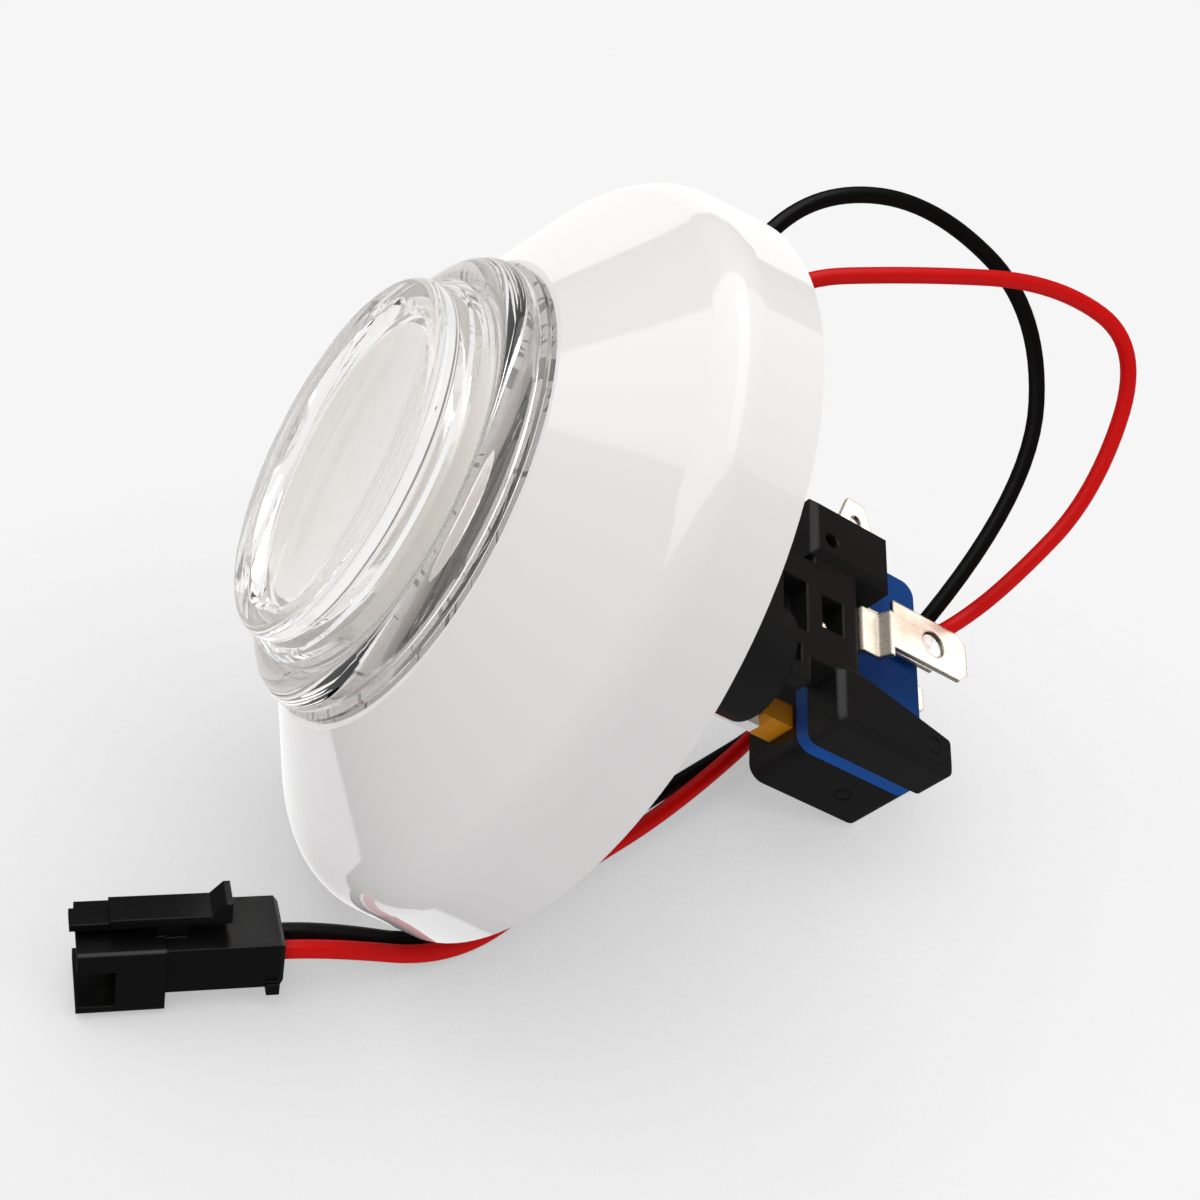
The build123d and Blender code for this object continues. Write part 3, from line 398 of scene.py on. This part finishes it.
@dataclass
class Finishes:
    """All finishes of the button, each made once."""

    white_abs: bpy.types.Material = field(init=False)
    clear_pc: bpy.types.Material = field(init=False)
    opal_white: bpy.types.Material = field(init=False)
    black_pbt: bpy.types.Material = field(init=False)
    black_phenolic: bpy.types.Material = field(init=False)
    black_nylon: bpy.types.Material = field(init=False)
    blue_pbt: bpy.types.Material = field(init=False)
    orange_acetal: bpy.types.Material = field(init=False)
    tinned_brass: bpy.types.Material = field(init=False)
    spring_brass: bpy.types.Material = field(init=False)
    spring_steel: bpy.types.Material = field(init=False)
    solder: bpy.types.Material = field(init=False)
    red_pvc: bpy.types.Material = field(init=False)
    black_pvc: bpy.types.Material = field(init=False)

    def __post_init__(self) -> None:
        """Makes every material."""
        # ABS from a polished tool: a deep even white whose gloss mirrors the tent.
        self.white_abs = MouldedPlastic(
            "glossy_white_ABS", "#f1f0ef", "#eceaec", Sheen.POLISHED_TOOL, grain_mm=2.5, grain_depth_mm=0.004,
            cloud_mm=30, edge_mm=0.0, coat=0.35).material()
        # Thick clear polycarbonate: bright, with grey bands where its walls bend the light.
        self.clear_pc = ClearMoulding("clear_polycarbonate", "#fcfbfa").material()
        # ABS with white pigment, a little see-through: an even white without hard shadows under the cap.
        self.opal_white = MouldedPlastic(
            "opal_white_ABS", "#f4f3f1", "#eceae8", Sheen.ETCHED_TOOL, edge_mm=0.0, glow=0.15).material()
        # Glass-filled PBT: near black, with a soft sheen and rounded, slightly lit edges.
        self.black_pbt = MouldedPlastic(
            "satin_black_PBT", "#191919", "#202020", Sheen.SATIN_TOOL, edge_mm=0.45).material()
        # Compression-moulded phenolic: a denser black, and blunt edges that catch a wide line of light.
        self.black_phenolic = MouldedPlastic(
            "black_phenolic", "#131313", "#1a1a1a", Sheen.SATIN_TOOL, edge_mm=0.3).material()
        # Nylon 66 from a stoned tool: the blackest piece, with crisp glints along its edges.
        self.black_nylon = MouldedPlastic(
            "black_nylon", "#090909", "#101010", Sheen.STONED_TOOL, grain_mm=0.5, edge_mm=0.2).material()
        # Pigmented PBT: a strong plain blue, satin, with no depth.
        self.blue_pbt = MouldedPlastic(
            "satin_blue_PBT", "#0050a8", "#004896", Sheen.SATIN_TOOL, edge_mm=0.22).material()
        # Acetal: a waxy orange with a soft sheen.
        self.orange_acetal = MouldedPlastic(
            "orange_acetal", "#d58a12", "#c27a0c", Sheen.SATIN_TOOL, edge_mm=0.15).material()
        # Brass strip under hot tin: pale warm grey, with the strip's rolling lines, darker stains and soft bends.
        self.tinned_brass = PlatedMetal(
            "tin_plated_brass", "#dfd8ca", "#b6a996", Sheen.ROLLED_SHEET, edge_mm=0.35).material()
        # Bare spring brass: yellow, with brown tarnish.
        self.spring_brass = PlatedMetal("spring_brass", "#d9b46a", "#a8813f", Sheen.ROLLED_SHEET).material()
        # Drawn steel wire: grey, with lines along the wire.
        self.spring_steel = PlatedMetal("drawn_spring_steel", "#c9c9c8", "#9b9a98", Sheen.DRAWN_WIRE).material()
        # Frozen solder: bright soft drops with no lines.
        self.solder = PlatedMetal(
            "tin_lead_solder", "#cfcfd0", "#a5a5a8", Sheen.DRAWN_WIRE, line_mm=0.6, run_mm=0.6).material()
        # Plasticised PVC: full colour under a skin whose bloom dulls the shine.
        self.red_pvc = SoftInsulation("red_PVC_insulation", "#e60606", "#cf0303").material()
        self.black_pvc = SoftInsulation("black_PVC_insulation", "#0a0a0a", "#101010").material()


def dress(material: bpy.types.Material, *nodes: str) -> None:
    """Gives CAD nodes a finish.

    Args:
        material: Finish to use.
        nodes: Names of the nodes.
    """
    for name in nodes:
        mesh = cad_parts[name].data
        mesh.materials.clear()
        mesh.materials.append(material)
        LOG.info("dressed %s in %s", name, material.name)


def put(name: str, data: bpy.types.ID) -> bpy.types.Object:
    """Puts a new object in the scene.

    Args:
        name: Name of the object.
        data: Mesh, curve, light or camera.

    Returns:
        The new object.
    """
    made = bpy.data.objects.new(name, data)
    bpy.context.scene.collection.objects.link(made)
    return made


def mesh_piece(name: str, mesh: bpy.types.Mesh, body: Body, material: bpy.types.Material) -> bpy.types.Object:
    """Puts a finished mesh in the scene and lets it ride on a body.

    Args:
        name: Name of the piece.
        mesh: Its mesh, placed in the part frame.
        body: Body that carries it.
        material: Its finish.

    Returns:
        The new object.
    """
    mesh.materials.clear()
    mesh.materials.append(material)
    piece = put(name, mesh)
    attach(piece, body.value)
    LOG.info("made %s with %d faces", name, len(mesh.polygons))
    return piece


def open_tree(name: str, inputs: dict[str, str]) -> tuple[bpy.types.NodeTree, bpy.types.NodeOutputs]:
    """Opens a geometry tree with named inputs.

    Args:
        name: Name of the tree.
        inputs: Socket type by input name.

    Returns:
        The tree and the sockets of its inputs.
    """
    tree = bpy.data.node_groups.new(name, "GeometryNodeTree")
    for label, kind in inputs.items():
        tree.interface.new_socket(label, in_out="INPUT", socket_type=kind)
    tree.interface.new_socket("Mesh", in_out="OUTPUT", socket_type="NodeSocketGeometry")
    return tree, add(tree, "NodeGroupInput").outputs


def close_tree(tree: bpy.types.NodeTree, geometry: bpy.types.NodeSocket, finish: bpy.types.NodeSocket) -> None:
    """Ends a geometry tree with a plain mesh in its finish.

    Args:
        tree: Tree to end.
        geometry: What it has made.
        finish: Material socket.
    """
    real = add(tree, "GeometryNodeRealizeInstances", {"Geometry": geometry})
    dressed = add(tree, "GeometryNodeSetMaterial", {"Geometry": real.outputs[0], "Material": finish})
    add(tree, "NodeGroupOutput", {"Mesh": dressed.outputs[0]})


def grown(name: str, tree: bpy.types.NodeTree, values: dict[str, object]) -> bpy.types.Mesh:
    """Evaluates a geometry tree into a plain mesh.

    Args:
        name: Name of the mesh.
        tree: Geometry tree with named inputs.
        values: Input values by name.

    Returns:
        The realised mesh.
    """
    carrier = put(name + "_carrier", bpy.data.meshes.new(name + "_seed"))
    modifier = carrier.modifiers.new("grow", "NODES")
    modifier.node_group = tree
    for item in tree.interface.items_tree:
        if item.item_type == "SOCKET" and item.in_out == "INPUT" and item.name in values:
            modifier[item.identifier] = values[item.name]
    graph = bpy.context.evaluated_depsgraph_get()
    mesh = bpy.data.meshes.new_from_object(carrier.evaluated_get(graph))
    mesh.name = name
    carrier.modifiers.clear()
    bpy.data.objects.remove(carrier)
    return mesh


def coil_tree(name: str, steps: int = 96, sides: int = 8) -> bpy.types.NodeTree:
    """Builds the tree of a coil: a helix with a round section swept along it.

    Args:
        name: Name of the tree.
        steps: Points in each turn.
        sides: Sides of the section.

    Returns:
        The geometry tree.
    """
    tree, given = open_tree(name, {
        "Radius": "NodeSocketFloat", "Height": "NodeSocketFloat", "Turns": "NodeSocketFloat",
        "Section": "NodeSocketFloat", "Bottom": "NodeSocketVector", "Finish": "NodeSocketMaterial"})
    helix = add(tree, "GeometryNodeCurveSpiral", {
        "Resolution": steps, "Rotations": given["Turns"], "Start Radius": given["Radius"],
        "End Radius": given["Radius"], "Height": given["Height"]})
    nose = add(tree, "GeometryNodeCurvePrimitiveCircle", {"Resolution": sides, "Radius": given["Section"]})
    swept = add(tree, "GeometryNodeCurveToMesh", {"Curve": helix.outputs[0], "Profile Curve": nose.outputs[0],
                                                  "Fill Caps": True})
    moved = add(tree, "GeometryNodeTransform", {"Geometry": swept.outputs[0], "Translation": given["Bottom"]})
    close_tree(tree, moved.outputs[0], given["Finish"])
    return tree


def ring_tree(name: str, steps: int = 48, sides: int = 8) -> bpy.types.NodeTree:
    """Builds the tree of a ring: a circle with a round bead swept along it.

    Args:
        name: Name of the tree.
        steps: Points round the ring.
        sides: Sides of the bead.

    Returns:
        The geometry tree.
    """
    tree, given = open_tree(name, {
        "Radius": "NodeSocketFloat", "Bead": "NodeSocketFloat", "Place": "NodeSocketVector",
        "Turn": "NodeSocketVector", "Finish": "NodeSocketMaterial"})
    ring = add(tree, "GeometryNodeCurvePrimitiveCircle", {"Resolution": steps, "Radius": given["Radius"]})
    bead = add(tree, "GeometryNodeCurvePrimitiveCircle", {"Resolution": sides, "Radius": given["Bead"]})
    swept = add(tree, "GeometryNodeCurveToMesh", {"Curve": ring.outputs[0], "Profile Curve": bead.outputs[0]})
    moved = add(tree, "GeometryNodeTransform", {"Geometry": swept.outputs[0], "Translation": given["Place"],
                                                "Rotation": given["Turn"]})
    close_tree(tree, moved.outputs[0], given["Finish"])
    return tree


@dataclass(frozen=True)
class EjectorMark:
    """Fine raised ring that an ejector pin leaves on a moulding."""

    name: str
    place_mm: Point
    turn: Point
    radius_mm: float = 1.0
    bead_mm: float = 0.09

    def build(self, material: bpy.types.Material) -> None:
        """Makes the ring.

        Args:
            material: Finish of the moulding.
        """
        mesh = grown(self.name, ring_tree(self.name), {
            "Radius": self.radius_mm * MM, "Bead": self.bead_mm * MM, "Place": tuple(v * MM for v in self.place_mm),
            "Turn": self.turn, "Finish": material})
        mesh_piece(self.name, mesh, Body.HOUSING, material)


@dataclass
class Riser:
    """White shell, clear collar with its thread, and the fixing nut."""

    finishes: Finishes
    thread_radius_mm: float = 13.9
    thread_pitch_mm: float = 1.5
    thread_height_mm: float = 0.34
    thread_top_mm: float = -5.9
    thread_bottom_mm: float = -12.2

    def build(self) -> None:
        """Dresses the shell, collar and nut and adds the thread to the barrel."""
        dress(self.finishes.white_abs, "outer_shell")
        dress(self.finishes.clear_pc, "collar")
        dress(self.finishes.black_nylon, "fixing_nut")
        length = self.thread_top_mm - self.thread_bottom_mm
        mesh = grown("barrel_thread", coil_tree("barrel_thread"), {
            "Radius": self.thread_radius_mm * MM, "Height": length * MM, "Turns": length / self.thread_pitch_mm,
            "Section": self.thread_height_mm * MM, "Bottom": (0.0, 0.0, self.thread_bottom_mm * MM),
            "Finish": self.finishes.clear_pc})
        mesh_piece("barrel_thread", mesh, Body.HOUSING, self.finishes.clear_pc)


@dataclass
class Plunger:
    """Clear push cap, diffuser, stem and return spring."""

    finishes: Finishes
    spring_wire_mm: float = 0.9
    spring_turns: float = 5.0
    travel_mm: float = 2.4

    def build(self) -> None:
        """Dresses the moving group and coils a spring in the place of the return spring."""
        dress(self.finishes.clear_pc, "plunger_cap")
        dress(self.finishes.opal_white, "diffuser", "plunger_stem")
        low, high = (Vector(corner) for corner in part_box("return_spring"))
        wire = self.spring_wire_mm / 2 * MM
        mesh = grown("return_spring_coil", coil_tree("return_spring_coil"), {
            "Radius": (high.x - low.x) / 2 - wire, "Height": high.z - low.z - 2 * wire, "Turns": self.spring_turns,
            "Section": wire, "Bottom": (0.0, 0.0, low.z + wire), "Finish": self.finishes.spring_steel})
        coil = mesh_piece("return_spring_coil", mesh, Body.HOUSING, self.finishes.spring_steel)
        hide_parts("return_spring")
        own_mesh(coil)


@dataclass
class LampHolder:
    """Black bracket with the lamp, its contacts and the moulding mark on the cheek."""

    finishes: Finishes
    mark: EjectorMark = EjectorMark("cheek_mark", (1.9, 3.0, -47.2), (math.pi / 2, 0.0, 0.0))

    def build(self) -> None:
        """Dresses the bracket and adds the ejector mark."""
        dress(self.finishes.black_pbt, "lamp_holder")
        dress(self.finishes.tinned_brass, "lamp_contact_front", "lamp_contact_rear")
        dress(self.finishes.opal_white, "lamp_base")
        dress(self.finishes.clear_pc, "lamp_lens")
        self.mark.build(self.finishes.black_pbt)


@dataclass
class SnapSwitch:
    """Two-colour switch body with its pusher, terminals and leaf."""

    finishes: Finishes
    mark: EjectorMark = EjectorMark("case_mark", (3.8, -8.6, -44.6), (0.0, math.pi / 2, 0.0))

    def build(self) -> None:
        """Dresses the switch and adds the mark on its near end."""
        dress(self.finishes.black_phenolic, "switch_case")
        dress(self.finishes.blue_pbt, "switch_cover")
        dress(self.finishes.orange_acetal, "switch_plunger")
        dress(self.finishes.tinned_brass, "common_terminal", "open_terminal", "closed_terminal")
        dress(self.finishes.spring_brass, "contact_blade")
        self.mark.build(self.finishes.black_phenolic)


@dataclass(frozen=True)
class SolderDrop:
    """Frozen drop of solder round a wire's end, flat at its foot and tapered along the wire."""

    name: str
    place_mm: Point
    along: Point
    length_mm: float
    width_mm: float
    rings: int = 9
    sides: int = 20
    # Shares of the width: least radius, loss towards the tip, and sideways lean.
    neck: float = 0.35
    taper: float = 0.45
    lean: float = 0.12
    # The belly follows this stretch of a half sine wave, and the lean this angle.
    belly_start: float = 0.25
    belly_span: float = 0.62
    lean_turn: float = 2.2

    def ring(self, t: float) -> list[Vector]:
        """Gives the points of one ring.

        Args:
            t: Place along the drop, from 0 at the foot to 1 at the tip.

        Returns:
            Points in millimetres, with the drop standing along Z.
        """
        wave = math.sin(math.pi * min(1.0, self.belly_start + self.belly_span * t))
        radius = self.width_mm * (self.neck + (1 - self.neck) * wave) * (1 - self.taper * t * t)
        lean = self.lean * self.width_mm * math.sin(self.lean_turn * t)
        angles = (2 * math.pi * k / self.sides for k in range(self.sides))
        return [Vector((radius * math.cos(a) + lean, radius * math.sin(a), t * self.length_mm)) for a in angles]

    def build(self, material: bpy.types.Material) -> None:
        """Makes the drop.

        Args:
            material: Finish of the solder.
        """
        mesh = bmesh.new()
        turn = Vector(self.along).to_track_quat("Z", "Y").to_matrix().to_4x4()
        place = Matrix.Translation(Vector(self.place_mm) * MM) @ turn
        rows = [[mesh.verts.new(place @ (point * MM)) for point in self.ring(row / (self.rings - 1))]
                for row in range(self.rings)]
        for low, high in zip(rows, rows[1:]):
            for k in range(self.sides):
                after = (k + 1) % self.sides
                mesh.faces.new((low[k], low[after], high[after], high[k]))
        foot = mesh.faces.new(list(reversed(rows[0])))
        mesh.faces.new(rows[-1])
        for face in mesh.faces:
            face.smooth = True
        foot.smooth = False
        made = bpy.data.meshes.new(self.name)
        mesh.to_mesh(made)
        mesh.free()
        mesh_piece(self.name, made, Body.HOUSING, material)


@dataclass
class Lead:
    """Two single-core wires from the lamp contacts to the latch plug."""

    finishes: Finishes
    diameter_mm: float = 1.8
    red_route_mm: list[Point] = field(default_factory=lambda: [
        (-12.0, 2.48, -47.0), (-15.6, 2.55, -51.2), (-19.0, 9.5, -53.6), (-27.5, 19.8, -57.4),
        (-40.2, 31.2, -54.6), (-42.3, 30.6, -41.5), (-38.0, 24.6, -26.0), (-34.5, 17.0, -12.5),
        (-33.0, 2.0, -17.0), (-37.0, -9.5, -31.0), (-29.5, -17.5, -44.5), (-15.0, -18.6, -46.8),
        (5.1, -21.3, -31.2), (18.4, -22.3, -17.5), (31.6, -22.25, -6.3), (34.50, -23.80, 7.20),
        (35.40, -25.34, 10.78)])
    black_route_mm: list[Point] = field(default_factory=lambda: [
        (-14.35, -0.7, -48.0), (-28.0, 14.5, -53.0), (-45.5, 24.5, -46.0), (-49.5, 26.0, -28.0),
        (-46.0, 21.5, -15.0), (-36.0, 15.0, -9.0), (-37.0, 1.0, -14.0), (-41.0, -10.0, -29.0),
        (-33.0, -18.0, -45.0), (-17.0, -20.8, -50.5), (3.3, -23.0, -29.9), (16.9, -23.8, -16.4),
        (30.2, -23.75, -5.1), (32.28, -24.93, 7.28), (33.18, -26.47, 10.86)])
    red_length: float = 0.229
    black_length: float = 0.232
    # The red wire's drop fills the hole in the lamp tab; the black wire's sits on the rear contact.
    drops: tuple[SolderDrop, ...] = (
        SolderDrop("red_solder", (-10.75, 3.55, -47.0), (-0.02, -1.0, -0.02), 2.4, 1.75),
        SolderDrop("black_solder", (-14.35, -1.3, -48.0), (-13.7, 15.1, -5.0), 2.0, 1.25))
    curve_order: int = 3
    steps_per_span: int = 12
    section_steps: int = 5

    def run(self, name: str, route_mm: list[Point], material: bpy.types.Material) -> bpy.types.Object:
        """Draws one wire as a smooth curve with a round section.

        Args:
            name: Name of the piece.
            route_mm: Control points.
            material: Insulation.

        Returns:
            The curve object.
        """
        curve = bpy.data.curves.new(name, "CURVE")
        curve.dimensions = "3D"
        spline = curve.splines.new("NURBS")
        spline.points.add(len(route_mm) - 1)
        for point, place in zip(spline.points, route_mm):
            point.co = (place[0] * MM, place[1] * MM, place[2] * MM, 1.0)
        spline.order_u = self.curve_order
        spline.use_endpoint_u = True
        spline.resolution_u = self.steps_per_span
        curve.bevel_depth = self.diameter_mm / 2 * MM
        curve.bevel_resolution = self.section_steps
        curve.use_fill_caps = True
        curve.materials.append(material)
        wire = put(name, curve)
        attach(wire, Body.HOUSING.value)
        LOG.info("drew %s through %d points", name, len(route_mm))
        return wire

    def build(self) -> None:
        """Makes the wires, their solder and the plug's finish."""
        dress(self.finishes.black_nylon, "connector_housing")
        dress(self.finishes.tinned_brass, "connector_contacts")
        red = self.run("red_wire_run", self.red_route_mm, self.finishes.red_pvc)
        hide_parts("red_wire")
        black = self.run("black_wire_run", self.black_route_mm, self.finishes.black_pvc)
        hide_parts("black_wire")
        for drop in self.drops:
            drop.build(self.finishes.solder)


@dataclass(frozen=True)
class SoftBox:
    """Square light that faces the middle of the button and lights some pieces only."""

    name: str
    offset_m: Vector
    size_m: float
    power_w: float
    lit: bpy.types.Collection
    colour: str = "#ffffff"

    def hang(self, middle: Vector) -> bpy.types.Object:
        """Hangs the light.

        Args:
            middle: Point that it faces.

        Returns:
            The light.
        """
        data = bpy.data.lights.new(self.name, "AREA")
        data.shape = "SQUARE"
        data.size = self.size_m
        data.energy = self.power_w
        data.color = linear(self.colour)[:3]
        light = put(self.name, data)
        turn = (-self.offset_m).to_track_quat("-Z", "Y").to_matrix().to_4x4()
        light.matrix_world = Matrix.Translation(middle + self.offset_m) @ turn
        light.light_linking.receiver_collection = self.lit
        return light


@dataclass
class Studio:
    """Pale table, soft boxes and the camera at the photograph's angle."""

    table_normal: Point = (-0.3933, 0.8051, 0.4441)
    table_offset_mm: float = -34.1
    table_half_m: float = 3.0
    table_colour: str = "#f7f7f7"
    table_fleck: str = "#f5f5f5"
    flecks_per_m: float = 400.0
    # Reach and depth of the painted shade that darkens the glowing table near the button.
    painted_shade_reach_mm: float = 58.0
    deepest_painted_shade: float = 0.43
    eye_mm: Point = (121.97, 131.063, 86.795)
    right: Point = (-0.04846, 0.60206, -0.79698)
    up: Point = (-0.79781, 0.45675, 0.39355)
    back: Point = (0.60096, 0.65491, 0.45819)
    lens_mm: float = 61.5
    sensor_mm: float = 36.0
    nearest_m: float = 0.005
    farthest_m: float = 20.0
    middle_mm: Point = (-5.0, 0.0, -8.0)
    backdrop: str = "#f7f7f7"
    surround: str = "#f8f6f3"
    fill: float = 0.545
    mirrored_fill: float = 0.07
    warm_card: str = "#fffaf6"
    cap_group: tuple[str, ...] = ("plunger_cap", "diffuser", "plunger_stem", "collar")
    bright_metals: tuple[str, ...] = ("tin_plated_brass", "tin_lead_solder", "spring_brass")
    # Light runs round inside the clear mouldings many times before it leaves them.
    bounces: dict[str, int] = field(default_factory=lambda: {
        "max_bounces": 32, "diffuse_bounces": 3, "glossy_bounces": 18, "transmission_bounces": 24})

    def camera(self) -> None:
        """Places the camera."""
        data = bpy.data.cameras.new("camera")
        data.lens = self.lens_mm
        data.sensor_width = self.sensor_mm
        data.sensor_height = self.sensor_mm
        data.clip_start = self.nearest_m
        data.clip_end = self.farthest_m
        camera = put("camera", data)
        turn = Matrix((self.right, self.up, self.back)).transposed().to_4x4()
        camera.matrix_world = Matrix.Translation(Vector(self.eye_mm) * MM) @ turn
        bpy.context.scene.camera = camera

    def table_material(self) -> bpy.types.Material:
        """Builds the look of the table.

        Returns:
            The finished material.
        """
        material, tree, place = start_material("pale_table_painted_shade")
        colour = blend(tree, noise(tree, place, self.flecks_per_m), self.table_colour, self.table_fleck)
        # The white ground glows evenly, with a painted soft shade near the button that is darker where nearby pieces
        # hide more of it.
        shade = add(tree, "ShaderNodeAmbientOcclusion", {"Distance": self.painted_shade_reach_mm * MM},
                    samples=PAINTED_SHADE_SAMPLES)
        level = between(tree, shade.outputs["AO"], self.deepest_painted_shade, 1.0, 0.0, 1.0)
        lit = add(tree, "ShaderNodeEmission", {"Color": colour, "Strength": level})
        # Seen from below, the table lets the button show.
        side = add(tree, "ShaderNodeNewGeometry").outputs["Backfacing"]
        clear = add(tree, "ShaderNodeBsdfTransparent")
        shader = either(tree, side, lit.outputs[0], clear.outputs[0])
        add(tree, "ShaderNodeOutputMaterial", {"Surface": shader})
        return material

    def table(self) -> None:
        """Lays the pale glowing table with a painted soft shade near the button."""
        mesh = bmesh.new()
        bmesh.ops.create_grid(mesh, x_segments=1, y_segments=1, size=self.table_half_m)
        normal = Vector(self.table_normal).normalized()
        turn = normal.to_track_quat("Z", "Y").to_matrix().to_4x4()
        mesh.transform(Matrix.Translation(normal * self.table_offset_mm * MM) @ turn)
        data = bpy.data.meshes.new("table")
        mesh.to_mesh(data)
        mesh.free()
        data.materials.append(self.table_material())
        table = put("table", data)
        # Dark mouldings would mirror the whole white table, which a real tent's gaps keep from them.
        table.visible_glossy = False
        # The card that brightens the riser's rim stands behind the table.
        table.visible_shadow = False

    def world(self) -> None:
        """Sets an even pale surround."""
        world = bpy.data.worlds.new("surround")
        bpy.context.scene.world = world
        world.use_nodes = True
        tree = world.node_tree
        tree.nodes.clear()
        seen = add(tree, "ShaderNodeBackground", {"Color": linear(self.backdrop), "Strength": 1.0})
        fill = add(tree, "ShaderNodeBackground", {"Color": linear(self.surround), "Strength": self.fill})
        path = add(tree, "ShaderNodeLightPath").outputs
        # Rays bent or mirrored by the clear mouldings also meet the bright backdrop.
        direct = larger(tree, path["Is Camera Ray"], path["Is Singular Ray"])
        # The tent's dark gaps are what satin black mouldings mirror, so they look black in it.
        gaps = add(tree, "ShaderNodeBackground", {"Color": linear(self.surround), "Strength": self.mirrored_fill})
        around = either(tree, path["Is Glossy Ray"], fill.outputs[0], gaps.outputs[0])
        add(tree, "ShaderNodeOutputWorld", {"Surface": either(tree, direct, around, seen.outputs[0])})

    def group(self, name: str, pieces: list[bpy.types.Object]) -> bpy.types.Collection:
        """Gathers pieces for a light that is meant for them alone.

        Args:
            name: Name of the collection.
            pieces: Its members.

        Returns:
            The collection.
        """
        collection = bpy.data.collections.new(name)
        for piece in pieces:
            collection.objects.link(piece)
        return collection

    def lights(self) -> None:
        """Hangs the soft boxes and the cards that metal and gloss mirror."""
        dressed = [piece for piece in bpy.data.objects if piece.type in {"MESH", "CURVE"} and piece.name != "table"]
        metal = [piece for piece in dressed
                 if any(slot.material and slot.material.name in self.bright_metals for slot in piece.material_slots)]
        button = self.group("button_light", dressed)
        shell = self.group("riser_light", [piece for piece in dressed if piece.name == "outer_shell"])
        stampings = self.group("metal_light", metal)
        cap = self.group("cap_light", [piece for piece in dressed if piece.name in self.cap_group])
        normal, right, up, back = (Vector(v) for v in (self.table_normal, self.right, self.up, self.back))
        front = Vector((0.0, 0.0, 1.0))
        # The lamp tab faces along Y and mirrors what lies in this direction to the camera.
        mirror = Vector((-back.x, back.y, -back.z))
        middle = Vector(self.middle_mm) * MM
        for box in (
                SoftBox("overhead_box", normal * 0.6 - right * 0.1, 0.78, 2.55, button),
                SoftBox("top_box", up * 0.45 + right * 0.4 + back * 0.15, 0.6, 0.85, shell),
                SoftBox("front_box", front * 0.5 + up * 0.08, 0.32, 0.15, cap),
                SoftBox("metal_card", mirror * 0.5, 0.4, 1.15, stampings, self.warm_card),
                # Bright metal is dark without something pale to mirror, on its far side too.
                SoftBox("far_metal_card", Vector((-0.3, -0.5, 0.1)), 0.8, 0.9, stampings),
                SoftBox("low_metal_card", Vector((0.1, -0.1, -0.55)), 0.8, 0.9, stampings)):
            box.hang(middle)
        # At a glancing angle the gloss of the riser mirrors the white ground behind it.
        card = SoftBox("edge_card", back * -0.5, 1.4, 6.2, shell).hang(middle)
        card.visible_diffuse = card.visible_transmission = card.visible_camera = False

    def build(self) -> None:
        """Builds the whole studio."""
        self.camera()
        self.table()
        self.world()
        self.lights()
        scene = bpy.context.scene
        scene.view_settings.view_transform = "Standard"
        scene.view_settings.look = "None"
        for limit, count in self.bounces.items():
            setattr(scene.cycles, limit, count)


def main() -> None:
    """Builds every sub-assembly and then the studio, in order."""
    logging.basicConfig(level=logging.INFO, format="%(name)s: %(message)s")
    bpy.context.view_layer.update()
    finishes = Finishes()
    for group in (Riser(finishes), Plunger(finishes), LampHolder(finishes), SnapSwitch(finishes), Lead(finishes),
                  Studio()):
        group.build()


if __name__ == "__main__":
    main()
